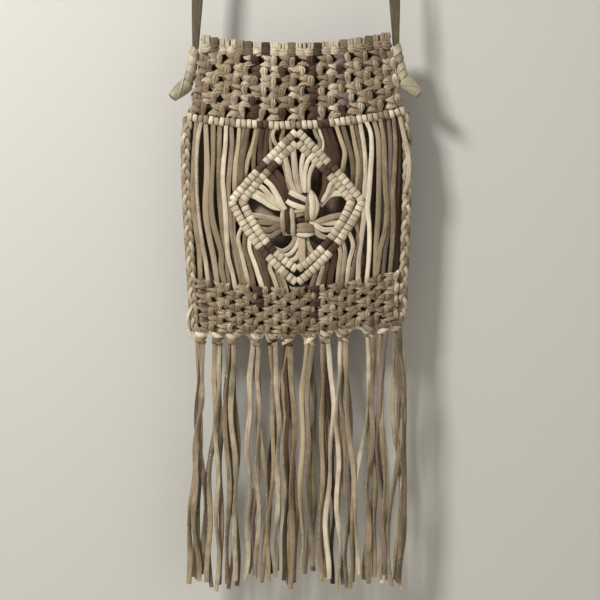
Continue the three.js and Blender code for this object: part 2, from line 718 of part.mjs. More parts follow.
function backPanel() {
  const across = [-0.7, -0.35, 0, 0.35, 0.7];
  const rim = across.map((u) => [u * RIM_HALF_WIDTH, rimDrop(u * RIM_HALF_WIDTH)]);
  const foot = [...across].reverse().map((u) => [u * BAR_HALF_WIDTH, backBottom(u * BAR_HALF_WIDTH)]);
  const outline = [...backSide(-1), ...rim, ...backSide(1).reverse(), ...foot];
  const shape = new THREE.Shape(outline.map(([x, drop]) => new THREE.Vector2(x, -drop)));
  let geometry = new THREE.ExtrudeGeometry(shape, { depth: BACK_THICKNESS, bevelEnabled: false });
  geometry.deleteAttribute('normal');
  geometry.deleteAttribute('uv');
  geometry = mergeVertices(geometry, 1e-4);
  geometry.rotateX(Math.PI / 2);
  geometry.translate(0, BACK_FRONT_Y + BACK_THICKNESS, RIM_Z);
  return geometry;
}

// Strap: two legs that lean inwards, a quarter twist up each, and an arch over the hanging point

const wrapX = (side, drop) => side * (upperHalf(drop) + WRAP_RADIUS + CLEARANCE);
const wrapTop = (side) => rimDrop(side * RIM_HALF_WIDTH) + WRAP_START;

function strap() {
  const foot = (side) => {
    const drop = wrapTop(side) - CLEARANCE;
    return new THREE.Vector3(wrapX(side, drop), 0, RIM_Z - drop);
  };
  const radius = STRAP_ARCH_RADIUS + STRAP_THICKNESS / 2;
  const arch = (angle) => new THREE.Vector3(
    radius * Math.sin(angle), 0, radius * Math.cos(angle) - STRAP_ARCH_RADIUS);
  const leg = (side, t) => {
    const [low, high] = [foot(side), arch((side * Math.PI) / 2)];
    return low.clone().lerp(high, t).setX(mix(low.x, high.x, t ** STRAP_EASE));
  };
  const legs = [0, 0.2, 0.4, 0.6, 0.8];
  const points = [
    ...legs.map((t) => leg(-1, t)),
    ...[-90, -60, -30, 0, 30, 60, 90].map((degrees) => arch(THREE.MathUtils.degToRad(degrees))),
    ...[...legs].reverse().map((t) => leg(1, t)),
  ];
  const path = smooth(points);
  const rings = Array.from({ length: STRAP_STEPS + 1 }, (_, i) => {
    const u = i / STRAP_STEPS;
    const tangent = path.getTangentAt(u);
    const edge = THREE.MathUtils.smoothstep(Math.min(u, 1 - u), 0.03, 0.2);
    const gather = THREE.MathUtils.smoothstep(Math.min(u, 1 - u), 0.005, 0.05);
    const width = mix(STRAP_FOOT_WIDTH, STRAP_WIDTH, gather);
    return ringAt(path.getPointAt(u), tangent, slab(width, STRAP_THICKNESS), (edge * Math.PI) / 2);
  });
  cutOn(rings[0], path.getTangentAt(0), heightPlane(foot(-1).z));
  cutOn(rings[STRAP_STEPS], path.getTangentAt(1), heightPlane(foot(1).z));
  return loft(rings);
}

const heightPlane = (z) => new THREE.Plane(new THREE.Vector3(0, 0, 1), -z);

// Wrapped strap end: follows the band's side edge, then leans outwards to its bead
function strapEnd(side) {
  const top = wrapTop(side);
  const at = (t) => {
    const drop = top + WRAP_LENGTH * t;
    return new THREE.Vector3(wrapX(side, drop) + side * WRAP_LEAN * t * t, 0, RIM_Z - drop);
  };
  const path = [0, 0.25, 0.5, 0.75, 1].map(at);
  const wrap = woundCord(path, WRAP_TURNS, [WRAP_RADIUS, WRAP_RADIUS],
    { sides: 8, start: heightPlane(RIM_Z - top) });
  const tangent = smooth(path).getTangentAt(1);
  const start = path[path.length - 1].clone().addScaledVector(tangent, CLEARANCE);
  const out = tangent.clone().add(new THREE.Vector3(side * BEAD_LEAN, 0, 0)).normalize();
  const corner = start.clone().addScaledVector(tangent, BEAD_RADIUS * 0.6);
  const points = [start, corner, corner.clone().addScaledVector(out, BEAD_LENGTH)];
  const line = smooth(points);
  const radii = [WRAP_RADIUS, BEAD_RADIUS * 0.93, BEAD_RADIUS, mix(BEAD_RADIUS, BEAD_TIP_RADIUS, 0.5),
    BEAD_TIP_RADIUS, BEAD_TIP_RADIUS * 0.55];
  const bead = loft(radii.map((radius, k) => {
    const u = k / (radii.length - 1);
    const outline = oval(radius, Math.min(radius, BEAD_HALF_DEPTH), 8);
    return ringAt(line.getPointAt(u), line.getTangentAt(u), outline);
  }));
  return { wrap, bead };
}

// The whole bag

const bag = new THREE.Group();
const carry = new THREE.Group();
const front = new THREE.Group();
const fringe = new THREE.Group();
bag.add(carry, front, fringe);

carry.add(piece('strap', strap(), finish(OLIVE)));
for (const [side, word] of [[-1, 'left'], [1, 'right']]) {
  const { wrap, bead } = strapEnd(side);
  carry.add(piece(`strap_wrap_${word}`, wrap, finish(CREAM, 0.75)));
  carry.add(piece(`strap_bead_${word}`, bead, finish(CREAM, 0.7)));
}

bag.add(piece('back_panel', backPanel(), finish(TAUPE)));
front.add(piece('holding_cord', hang(holdingCord()), finish(TAUPE)));
front.add(piece('mounting_knots', hang(mountingKnots()), finish(CREAM)));
front.add(piece('upper_knot_band', hang(knotBand(UPPER_BAND)), finish(CREAM)));
front.add(piece('cording_bar', hang(joined([cordingBar(), ...lacesToDiamond()])), finish(CREAM, 0.8)));

for (const side of DIAMOND_SIDES) {
  front.add(piece(`diamond_${side.name}_outer`, hang(diamondRow(side, 0)), finish(CREAM, 0.8)));
  front.add(piece(`diamond_${side.name}_inner`, hang(diamondRow(side, 1)), finish(CREAM, 0.8)));
}

front.add(piece('centre_wrap_right', hang(centreWrap(RIGHT_WRAP, true)), finish(CREAM)));
front.add(piece('centre_wrap_left', hang(centreWrap(LEFT_WRAP, true)), finish(TAUPE)));
front.add(piece('centre_wrap_lower', hang(centreWrap(LOWER_WRAP, false)), finish(CREAM)));

const [UPPER_LEFT, UPPER_RIGHT, LOWER_LEFT, LOWER_RIGHT] = DIAMOND_SIDES;
const BUNDLES = {
  gathered_upper_left: {
    side: UPPER_LEFT, along: [0.84, 0.7, 0.56, 0.42], wrap: LEFT_WRAP, face: 'top', first: -4.5, last: 4.5,
  },
  gathered_upper_middle: {
    side: UPPER_LEFT, along: [0.28, 0.19, 0.1], wrap: RIGHT_WRAP, face: 'left', first: -2, last: -9,
  },
  gathered_upper_right: {
    side: UPPER_RIGHT, along: [0.22, 0.35, 0.48, 0.61], wrap: RIGHT_WRAP, face: 'top', first: -4, last: 5,
  },
  gathered_lower_left: {
    side: LOWER_LEFT, along: [0.84, 0.7, 0.56, 0.42], wrap: LEFT_WRAP, face: 'left', first: -5, last: 5,
  },
  gathered_lower_middle: {
    side: LOWER_LEFT, along: [0.08, 0.17, 0.26], wrap: LOWER_WRAP, face: 'bottom', first: 4, last: -3,
  },
  gathered_lower_right: {
    side: LOWER_RIGHT, along: [0.8, 0.68, 0.56, 0.44], wrap: LOWER_WRAP, face: 'right', first: -3, last: 4.6,
  },
};
for (const [name, bundle] of Object.entries(BUNDLES)) {
  const color = name === 'gathered_upper_left' ? BROWN : CREAM;
  front.add(piece(name, hang(gatheredLaces(bundle)), finish(color)));
}

for (const [side, word] of [[-1, 'left'], [1, 'right']]) {
  for (let k = 0; k < HANGERS; k += 1) {
    const color = [CREAM, BROWN, CREAM, OLIVE, CREAM, TAUPE, CREAM][k % 7];
    front.add(piece(`hanging_lace_${word}_${k + 1}`, hang(hangingLace(side, k)), finish(color)));
  }
  front.add(piece(`side_braid_${word}`, hang(sideBraid(side)), finish(CREAM, 0.8)));
}

const lowerKnots = joined([knotBand(LOWER_BAND), ...lacesFromDiamond()]);
front.add(piece('lower_knot_band', hang(lowerKnots), finish(CREAM)));

TASSELS.forEach((one, index) => {
  const color = [CREAM, OLIVE, CREAM, TAUPE][index % 4];
  fringe.add(piece(`tassel_${index + 1}`, hang(tassel(one, index)), finish(color)));
});

export default bag;
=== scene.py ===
# %% [markdown]
# # A fringed shoulder bag, knotted from flat suede laces
#
# Nearly everything on this bag is the same thing worked in different ways: a flat suede lace about five
# millimetres wide. So the lesson builds one good lace tool first, and then ties the bag with it: heads on a
# cord, square knots, half hitches, wraps, braids, overhand knots and a long fringe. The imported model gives
# the frame, in metres: the origin is under the strap's arch, +Z is up and the front faces -Y.

# %% Load the frame
import math
import bpy
import numpy as np
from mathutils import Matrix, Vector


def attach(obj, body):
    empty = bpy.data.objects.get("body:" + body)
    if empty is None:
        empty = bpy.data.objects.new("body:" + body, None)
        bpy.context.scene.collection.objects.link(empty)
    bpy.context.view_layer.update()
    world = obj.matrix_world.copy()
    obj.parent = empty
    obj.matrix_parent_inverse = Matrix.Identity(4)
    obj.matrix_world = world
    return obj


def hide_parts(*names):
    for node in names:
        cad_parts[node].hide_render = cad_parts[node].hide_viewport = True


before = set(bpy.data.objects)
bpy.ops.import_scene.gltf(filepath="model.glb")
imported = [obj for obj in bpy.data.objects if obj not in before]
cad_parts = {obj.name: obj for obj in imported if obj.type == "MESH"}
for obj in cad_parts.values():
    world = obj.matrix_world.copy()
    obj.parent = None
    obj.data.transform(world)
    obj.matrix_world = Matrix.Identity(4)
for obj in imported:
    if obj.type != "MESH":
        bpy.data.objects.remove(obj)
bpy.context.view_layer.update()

# %% [markdown]
# ## Sizes
#
# The knotted front is laid out flat first, in millimetres: x across, and drop, the distance below the
# middle of the rim. These are the sizes of the solid model, so each lace lands where its solid is.

# %% Sizes in millimetres
MM = 0.001
LACE_WIDTH, LACE_THICKNESS = 4.8, 1.8
RIM_Z, WALL_BACK, BELLY = -460, 3.7, 14
RIM, BAND_TOP, BAR = (-11, -1, -14), (3.5, 9.5, -0.5), (70, 80, 64)
LOWER_TOP, LOWER_BOTTOM, BODY_HEIGHT = (231, 246, 223), (283, 286, 272), 290
RIM_HALF, BAR_HALF, FOOT_HALF = 95, 108, {-1: 101, 1: 105}
HEADS, KNOTS_ACROSS, KNOT_MARGIN = 22, 11, 0.25
HITCH_PITCH, BAR_RADIUS, ROW_RADIUS, CLEARANCE = 5.5, 4, 3.85, 0.3
DIAMOND_CENTRE, DIAMOND_HALF, DIAMOND_MIDDLE = 1, 65, 155
DIAMOND_TOP, DIAMOND_BOTTOM = BAR[1] + 6, LOWER_TOP[1] - 10
BRAID_WIDTH, BRAID_LINK = 10, 10.3
FRONT = np.array([0.0, -1.0, 0.0])
random = np.random.default_rng(7)


def jitter(spread, size=None):
    return random.normal(0, spread, size)


def mix(a, b, t):
    return a + (b - a) * t


def line_across(sides, half):
    """The drop of a line across the front: it leans and smiles between its left, middle and right drops."""
    left, middle, right = sides

    def drop(x):
        u = np.asarray(x, float) / half
        return middle + (right - left) / 2 * u + ((left + right) / 2 - middle) * np.abs(u) ** 1.8
    return drop


rim_drop, band_top = line_across(RIM, RIM_HALF), line_across(BAND_TOP, RIM_HALF)
bar_drop, foot_drop = line_across(BAR, BAR_HALF), line_across(LOWER_BOTTOM, BAR_HALF)


def upper_half(drop):
    return mix(RIM_HALF, BAR_HALF, np.clip(drop / BAR[1], -0.2, 1))


def braid_line(side, drop):
    t = (np.asarray(drop, float) - BAR[1]) / (BODY_HEIGHT - BAR[1])
    bow = 3.5 * np.sin(np.pi * np.sqrt(np.maximum(t, 0)))
    return side * (mix(BAR_HALF + 0.5, FOOT_HALF[side], t) + bow)


def braid_inner(side):
    return lambda drop: braid_line(side, drop) - side * (BRAID_WIDTH / 2 + CLEARANCE)


def belly(x, drop):
    """How far the front stands off the back, so that the bag has a pouch."""
    t = np.clip(drop / BODY_HEIGHT, 0, 1)
    return BELLY * np.maximum(0, 1 - (x / BAR_HALF) ** 2) * (0.7 + 0.6 * t) * (1 - t ** 4)


def at(x, drop, depth=3.4):
    """A point of the flat layout; depth is how far it stands in front of the layout's back."""
    return [float(x), -float(depth), -float(drop)]


def hung(points):
    """Bellies points of the flat layout forward and hangs them under the strap, in metres."""
    x, y, z = np.moveaxis(np.asarray(points, float), -1, 0)
    return np.stack([x, y + WALL_BACK - belly(x, -z), z + RIM_Z], -1) * MM


def placed(points):
    """Points that are already in the frame's own place, in metres."""
    return np.asarray(points, float) * MM


print("front:", 2 * BAR_HALF, "x", BODY_HEIGHT, "mm")

# %% [markdown]
# ## The camera
#
# The picture is taken straight on, from a little over a metre, and its width spans six hundred millimetres
# at the bag. A long lens keeps the outline as flat as a drawing.

# %% Camera
PICTURE_SPAN, PICTURE_DROP, CAMERA_DISTANCE, SENSOR = 0.6, 253, 1.15, 36


def add(name, data):
    made = bpy.data.objects.new(name, data)
    bpy.context.scene.collection.objects.link(made)
    return made


camera = add("camera", bpy.data.cameras.new("camera"))
camera.data.sensor_width = SENSOR
camera.data.lens = SENSOR * CAMERA_DISTANCE / PICTURE_SPAN
camera.location = (0.004, -CAMERA_DISTANCE, (RIM_Z - PICTURE_DROP) * MM)
camera.rotation_euler = (math.pi / 2, 0, 0)
bpy.context.scene.camera = camera
bpy.context.scene.view_settings.view_transform = "Standard"
print("lens:", round(camera.data.lens, 1), "mm")

# %% [markdown]
# ## Wires: shader sums as plain expressions
#
# A material is a small network. Writing it as sums keeps it readable: a Wire holds one socket, and adding
# or multiplying wires makes the Math nodes. Every other node comes from one method, Finish.node.

# %% Wires and finishes
class Wire:
    """A socket that can stand in a sum."""

    def __init__(self, finish, socket):
        self.finish, self.socket = finish, socket

    def _sum(self, operation, first, second):
        return self.finish.node("Math", {"operation": operation}, {0: first, 1: second})

    def __add__(self, other): return self._sum("ADD", self, other)
    def __radd__(self, other): return self._sum("ADD", other, self)
    def __sub__(self, other): return self._sum("SUBTRACT", self, other)
    def __mul__(self, other): return self._sum("MULTIPLY", self, other)

    def clamp(self):
        return self.finish.node("Clamp", {}, {0: self})

    def steps(self, low, high):
        """0 below low, 1 above high, and a smooth rise between."""
        return self.finish.node("MapRange", {"interpolation_type": "SMOOTHSTEP"}, {0: self, 1: low, 2: high})


class Finish:
    """A material and the nodes that make it."""

    def __init__(self, name):
        self.material = bpy.data.materials.new(name)
        self.material.use_nodes = True
        self.tree = self.material.node_tree
        self.shader = self.tree.nodes["Principled BSDF"]

    def plug(self, inputs, values):
        for key, value in values.items():
            if isinstance(value, Wire):
                self.tree.links.new(value.socket, inputs[key])
            else:
                inputs[key].default_value = value

    def node(self, kind, settings, sockets, out=0):
        made = self.tree.nodes.new("ShaderNode" + kind)
        for key, value in settings.items():
            setattr(made, key, value)
        self.plug(made.inputs, sockets)
        return Wire(self, made.outputs[out])

    def blend(self, factor, first, second):
        return self.node("Mix", {"data_type": "RGBA"}, {0: factor, 6: first, 7: second}, out=2)

    def scaled(self, vector, by):
        return self.node("VectorMath", {"operation": "MULTIPLY"}, {0: vector, 1: by})

    def noise(self, vector, scale, detail=3.0, roughness=0.55):
        sockets = {"Vector": vector, "Scale": scale, "Detail": detail, "Roughness": roughness}
        return self.node("TexNoise", {}, sockets)

    def feed(self, **sockets):
        self.plug(self.shader.inputs, {key.replace("_", " "): value for key, value in sockets.items()})


def paint(red, green, blue):
    """A colour as it looks on a screen, turned into the light values that a shader takes."""
    light = [v / 12.92 if v <= 0.04045 else ((v + 0.055) / 1.055) ** 2.4 for v in (red, green, blue)]
    return (*light, 1.0)


# %% [markdown]
# ## Wall and lamps
#
# The bag hangs close in front of a pale wall, which is clear from behind, so that the back can be looked at
# too. A small lamp at the upper left gives the shadows between the laces their edges, a large one at the
# right and a pale world fill them.

# %% Wall, floor and lamps
WALL_Y, FLOOR_Z = 0.045, -1.2
PALE = paint(0.83, 0.82, 0.79)


def pale_paint(name, open_behind):
    finish = Finish(name)
    finish.feed(Base_Color=PALE, Roughness=0.9)
    if open_behind:
        clear = finish.node("BsdfTransparent", {}, {})
        behind = finish.node("NewGeometry", {}, {}, "Backfacing")
        both = finish.node("MixShader", {}, {0: behind, 1: Wire(finish, finish.shader.outputs[0]), 2: clear})
        finish.plug(finish.tree.nodes["Material Output"].inputs, {"Surface": both})
    return finish.material


def plane(name, corners, material):
    mesh = bpy.data.meshes.new(name)
    mesh.from_pydata(corners, [], [range(4)])
    mesh.materials.append(material)
    add(name, mesh)


plane("wall", [(x, WALL_Y, z) for x, z in ((-2, FLOOR_Z), (2, FLOOR_Z), (2, 0.8), (-2, 0.8))],
    pale_paint("wall_paint", True))
plane("floor", [(x, y, FLOOR_Z) for x, y in ((-2, -2.5), (2, -2.5), (2, 1.5), (-2, 1.5))],
    pale_paint("floor_paint", False))


def lamp(name, place, target, size, power):
    made = add(name, bpy.data.lights.new(name, "AREA"))
    made.data.size, made.data.energy = size, power
    made.location = place
    aim = np.array(target, float) - np.array(place, float)
    made.rotation_euler = Vector(aim).to_track_quat("-Z", "Y").to_euler()


BAG_MIDDLE = (0, 0, -0.7)
lamp("key", (-0.95, -1.1, 0.3), BAG_MIDDLE, 0.34, 26)
lamp("fill", (1.3, -1.3, -0.5), BAG_MIDDLE, 1.2, 3)
world = bpy.data.worlds.new("world")
world.use_nodes = True
world.node_tree.nodes["Background"].inputs["Color"].default_value = paint(0.96, 0.94, 0.91)
world.node_tree.nodes["Background"].inputs["Strength"].default_value = 0.28
bpy.context.scene.world = world

# %% [markdown]
# ## Suede
#
# A lace has two faces: a smoother grain side and a rough flesh side. Each lace of a mesh carries three
# numbers at every point: how far along it the point is, where across its width, and a number of its own.
# The first two draw fibres that run with the lace, and the last shifts its tone, so that no two laces match;
# where it runs high it paints a pale highlight. Nap is a fine bump. The edges are painted darker as shade
# between laces, with pale specks of nap.

# %% Suede
def suede(name, deep, pale, nap, sheen):
    finish, deep, pale = Finish(name), paint(*deep), paint(*pale)
    mark = finish.node("Attribute", {"attribute_name": "lace"}, {}, out="Vector")
    across, own = (finish.node("SeparateXYZ", {}, {0: mark}, out) for out in (1, 2))
    place = finish.node("TexCoord", {}, {}, out="Object")
    grain = finish.noise(place, 900.0, 3.0, 0.7)
    cloud = finish.noise(place, 75.0)
    fibre = finish.noise(finish.scaled(mark, (0.07, 2.2, 41.0)), 1.0, 4.0, 0.6)
    edge = finish.node("Math", {"operation": "ABSOLUTE"}, {0: across}).steps(0.7, 1.0)
    tone = 0.5 + (own - 0.5) * 0.8 + (cloud - 0.5) * 1.1 + (fibre - 0.5) * 1.1 + (grain - 0.5) * nap
    colour = finish.blend(tone.clamp(), deep, pale)
    shade, lift = [tuple(min(1, c * by) for c in base[:3]) + (1,) for base, by in ((deep, 0.45), (pale, 1.5))]
    # painted shade: the band along each lace's edges is blended towards a darker copy of the deep colour,
    # standing in for the shadow between laces
    colour = finish.blend(edge * 0.6, colour, shade)
    speck = (grain.steps(0.60, 0.70) * 0.7 + grain.steps(0.50, 0.62) * edge * 0.8) * nap
    # painted highlight: where the lace's own number runs above 0.8 it is blended towards a paler copy of the
    # pale colour; the specks below use the same pale colour for real nap
    colour = finish.blend(own.steps(0.8, 1.4), colour, lift)
    colour = finish.blend(speck.clamp(), colour, lift)
    height = grain * nap * 1.1 + fibre * 0.7 - edge * 0.3
    normal = finish.node("Bump", {}, {"Strength": 0.6, "Distance": 0.0005, "Height": height})
    rough = (0.95 - sheen * 0.55 + (grain - 0.5) * 0.25).clamp()
    finish.feed(Base_Color=colour, Roughness=rough, Normal=normal)
    finish.feed(Sheen_Weight=0.15, Sheen_Roughness=0.5, Specular_IOR_Level=0.35)
    return finish.material


# Each row: the material's name, its deep and its pale colour, nap, sheen, and the record's slot
SUEDES = {
    "cream": ("cream_suede", (0.56, 0.49, 0.39), (0.91, 0.85, 0.745), 0.35, 0.85, "suede_cream"),
    "taupe": ("taupe_suede", (0.42, 0.35, 0.275), (0.66, 0.585, 0.485), 0.9, 0.25, "suede_taupe"),
    "tan": ("tan_suede", (0.455, 0.385, 0.29), (0.72, 0.65, 0.525), 0.9, 0.25, "suede_cream"),
    "olive": ("olive_suede", (0.35, 0.305, 0.22), (0.53, 0.475, 0.365), 0.9, 0.2, "suede_taupe"),
    "lilac": ("lilac_suede", (0.40, 0.345, 0.31), (0.57, 0.51, 0.46), 0.7, 0.3, "suede_taupe"),
    "brown": ("brown_suede", (0.17, 0.11, 0.065), (0.36, 0.265, 0.18), 0.6, 0.35, "suede_brown"),
    "strap": ("strap_suede", (0.285, 0.245, 0.18), (0.43, 0.385, 0.305), 0.8, 0.2, "strap_olive"),
    "back": ("back_suede", (0.34, 0.28, 0.22), (0.50, 0.44, 0.36), 0.9, 0.1, "back_suede"),
    "leather": ("wrap_leather", (0.50, 0.445, 0.35), (0.76, 0.715, 0.61), 0.25, 0.9, "suede_cream"),
}
FINISHES = {key: suede(*row[:-1]) for key, row in SUEDES.items()}
CODES = {"c": "cream", "t": "taupe", "b": "brown", "n": "tan", "o": "olive", "l": "lilac"}
print("finishes:", ", ".join(FINISHES))

# %% [markdown]
# ## The lace tool
#
# A curve object with a flat profile twists by itself at tight bends, so the laces are swept by hand: a
# smooth run through a few keys, a rounded flat section across it, and a facing direction that says where
# the smooth side looks. Width, thickness and turn may change from key to key.

# %% The lace tool
def smooth(keys, count):
    """Evenly spaced rows along a smooth curve through keys; the first three columns are the place."""
    keys = np.asarray(keys, float)
    steps = np.linalg.norm(np.diff(keys[:, :3], axis=0), axis=1)
    run = np.concatenate([[0], np.cumsum(np.maximum(steps, 1e-3))])
    slope = np.gradient(keys, run, axis=0)
    where = np.linspace(0, run[-1], count)
    k = np.clip(np.searchsorted(run, where, side="right") - 1, 0, len(run) - 2)
    step = (run[k + 1] - run[k])[:, None]
    s = (where - run[k])[:, None] / step
    return ((1 + 2 * s) * (1 - s) ** 2 * keys[k] + s * (1 - s) ** 2 * step * slope[k]
        + s * s * (3 - 2 * s) * keys[k + 1] + s * s * (s - 1) * step * slope[k + 1])


def unit(vectors):
    return vectors / np.maximum(np.linalg.norm(vectors, axis=-1, keepdims=True), 1e-9)


def lace_section(sides, square):
    """The outline across a lace, one unit wide and one thick, with rounded edges."""
    angle = (np.arange(sides) + 0.5) / sides * 2 * np.pi
    c, s = np.cos(angle), np.sin(angle)
    return np.stack([np.sign(c) * np.abs(c) ** square, np.sign(s) * np.abs(s) ** square], -1) / 2


def creased_section(folds):
    """The outline of a lace that is pulled tight: a row of points for its face, and three for its back."""
    across = np.linspace(0.5, -0.5, 2 * folds + 1)
    face = np.stack([across, 0 * across + 0.5], -1)
    return np.concatenate([face, [(-0.42, -0.5), (0, -0.5), (0.42, -0.5)]])


class LaceWork:
    """One piece made of laces. It stands for one node of the solid model."""

    def __init__(self, node, place=hung):
        self.node, self.place, self.count = node, place, 0
        self.points, self.marks, self.faces, self.finishes, self.flat = [], [], [], [], []

    def skin(self, rings, marks, finish):
        """Skins a row of rings, each a closed outline, and closes both ends."""
        rows, sides = rings.shape[:2]
        around = np.arange(sides)[None, :]
        start = np.arange(rows - 1)[:, None] * sides + around + self.count
        following = start - around + (around + 1) % sides
        quads = np.stack([start, start + sides, following + sides, following], -1).reshape(-1, 4)
        last = self.count + rows * sides - 1
        ends = [list(range(self.count, self.count + sides)), list(range(last, last - sides, -1))]
        faces = quads.tolist() + ends
        self.flat += [False] * len(quads) + [True, True]
        self.faces += faces
        self.finishes += [finish] * len(faces)
        self.points.append(rings.reshape(-1, 3))
        self.marks.append(marks.reshape(-1, 3))
        self.count += rows * sides

    def lace(self, keys, finish, width=LACE_WIDTH, thickness=LACE_THICKNESS, facing=FRONT, turn=0.0,
            count=None, sides=8, square=0.45, crown=0.0, own=None, folds=0):
        """Sweeps one lace through keys; width, thickness, turn and own are one value, or one for each key."""
        n = len(keys)
        column = lambda value: np.broadcast_to(np.asarray(value, float), (n,))
        table = np.column_stack([np.asarray(keys, float), column(width), column(thickness), column(turn),
            np.broadcast_to(np.asarray(facing, float), (n, 3)),
            column(random.random() if own is None else own)])
        length = np.linalg.norm(np.diff(table[:, :3], axis=0), axis=1).sum()
        run = smooth(table, count or int(np.clip(length / 2.2, 6, 90)))
        ahead = unit(np.gradient(run[:, :3], axis=0))
        side = unit(np.cross(ahead, run[:, 6:9]))
        out = np.cross(side, ahead)
        c, s = np.cos(run[:, 5:6]), np.sin(run[:, 5:6])
        side, out = side * c + out * s, out * c - side * s
        outline = creased_section(folds) if folds else lace_section(sides, square)
        rise = np.tile(crown * (1 - 4 * outline[:, 0] ** 2), (len(run), 1))
        for k in range(1, 2 * folds):
            wave = np.sin(np.linspace(0, random.uniform(2, 7), len(run)) + random.uniform(0, 6.3))
            rise[:, k] += (-0.55 if k % 2 else 0.15) * (0.9 + 0.75 * wave)
        rings = (run[:, None, :3] + side[:, None] * (outline[None, :, 0:1] * run[:, None, 3:4])
            + out[:, None] * (outline[None, :, 1:2] * run[:, None, 4:5] + rise[..., None]))
        marks = np.empty(rings.shape)
        marks[..., 0] = np.linspace(0, length, len(run))[:, None]
        marks[..., 1] = outline[None, :, 0] * 2
        marks[..., 2] = run[:, 9:]
        self.skin(rings, marks, finish)

    def build(self, finish=None):
        """Makes the piece: it rides on the bag and takes the place of its node."""
        mesh = bpy.data.meshes.new(self.node)
        places = self.place(np.concatenate(self.points))
        mesh.from_pydata(places.tolist(), [], self.faces)
        used = sorted(set(self.finishes))
        for name in used:
            mesh.materials.append(FINISHES[name])
        mesh.polygons.foreach_set("material_index", [used.index(name) for name in self.finishes])
        mesh.polygons.foreach_set("use_smooth", [not flat for flat in self.flat])
        mesh.set_sharp_from_angle(angle=math.radians(44))
        marks = mesh.attributes.new("lace", "FLOAT_VECTOR", "POINT")
        marks.data.foreach_set("vector", np.concatenate(self.marks).ravel())
        mesh.update()
        made = add(self.node + "_laces", mesh)
        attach(made, "root")
        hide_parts(self.node)
        main = finish or max(used, key=self.finishes.count)
        triangles = sum(len(face) - 2 for face in self.faces)
        LaceWork.total += triangles
        print(f"{made.name}: {triangles} triangles")
        return made


LaceWork.total = 0

# %% [markdown]
# ## The back
#
# The back is one plain suede panel, and the only sheet on the bag. It is seen as brown shade through the
# gaps of the front, and whole from behind. It is built as rows of points between its two side lines, with a
# slow ripple, rounded edges and one place that presses forward, because a flat plate would look like card.
# Where it presses forward, its face towards the front is painted paler: painted light on the shaded inside.

# %% Back panel
BACK_Y, BACK_THICKNESS, BACK_ROWS, BACK_COLUMNS = 4, 2, 72, 56


def back_side(side, drop):
    shoulder = bar_drop(side * BAR_HALF)
    lacing = braid_line(side, np.maximum(drop, shoulder)) + side * BRAID_WIDTH / 2
    return np.where(drop < shoulder, side * upper_half(drop), lacing)


def back_panel():
    u = np.linspace(0, 1, BACK_COLUMNS)[None, :]
    v = np.linspace(0, 1, BACK_ROWS)[:, None]
    x = mix(-RIM_HALF, RIM_HALF, u) + 0 * v
    for _ in range(5):
        drop = mix(rim_drop(x), foot_drop(x) - CLEARANCE, v)
        x = mix(back_side(-1, drop), back_side(1, drop), u)
    edge = np.minimum(np.minimum(u, 1 - u) * 2 * BAR_HALF, np.minimum(v, 1 - v) * BODY_HEIGHT)
    thin = 0.35 + 0.65 * np.clip(edge / 2.5, 0, 1) ** 0.5
    ripple = 0.25 * np.sin(x / 17 + drop / 41) * np.sin(drop / 29) * np.clip(edge / 12, 0, 1)
    swell = np.exp(-((x + 31) / 24) ** 2 - ((drop - 176) / 28) ** 2)
    middle = BACK_Y + BACK_THICKNESS / 2 - 9 * swell
    sheets = [np.stack([x, middle + ripple + s * thin * BACK_THICKNESS / 2, RIM_Z - drop], -1)
        for s in (-1, 1)]
    rows, columns = x.shape
    index = np.arange(rows * columns).reshape(rows, columns)
    quads = np.stack([index[:-1, :-1], index[1:, :-1], index[1:, 1:], index[:-1, 1:]], -1).reshape(-1, 4)
    border = np.concatenate([index[0, :-1], index[:-1, -1], index[-1, :0:-1], index[:0:-1, 0]])
    after = np.roll(border, -1)
    rim = np.stack([border, after, after + rows * columns, border + rows * columns], -1)
    work = LaceWork("back_panel", placed)
    work.points = [sheet.reshape(-1, 3) for sheet in sheets]
    # painted light: the face towards the front (lit = 1) is made paler where the panel swells, behind the left
    # gap of the front; the second number darkens the panel's rim as painted shade
    work.marks = [np.stack([drop, np.clip(1 - edge / 2.5, 0, 1), 0.4 + lit * swell], -1).reshape(-1, 3)
        for lit in (1, 0)]
    work.faces = quads.tolist() + (quads[:, ::-1] + rows * columns).tolist() + rim.tolist()
    work.finishes = ["back"] * len(work.faces)
    work.flat = [False] * len(work.faces)
    return work.build()


back = back_panel()

# %% [markdown]
# ## Strap, windings and rolled beads
#
# The strap is one flat suede strip with both ends tied in at the top corners. It stands edge on where it
# leaves a winding and turns flat to the shoulder. A winding is a lace laid round the strap's end in four
# leaning turns, each over the last, and a strip of leather rolled up on itself makes the bead at its tip.

# %% Strap
STRAP_WIDTH, STRAP_THICKNESS, STRAP_FOOT_WIDTH, ARCH_RADIUS = 11, 2.8, 6.4, 65
STRAP_EASE, WRAP_RADIUS, WRAP_LENGTH, WRAP_START, WRAP_LEAN = 1.4, 4.9, 33, 13, 2
BEAD_LENGTH, BEAD_RADIUS, BEAD_DEPTH = 19, 6.6, 5.6


def wrap_x(side, drop):
    return side * (upper_half(drop) + WRAP_RADIUS + CLEARANCE)


def wrap_top(side):
    return float(rim_drop(side * RIM_HALF)) + WRAP_START


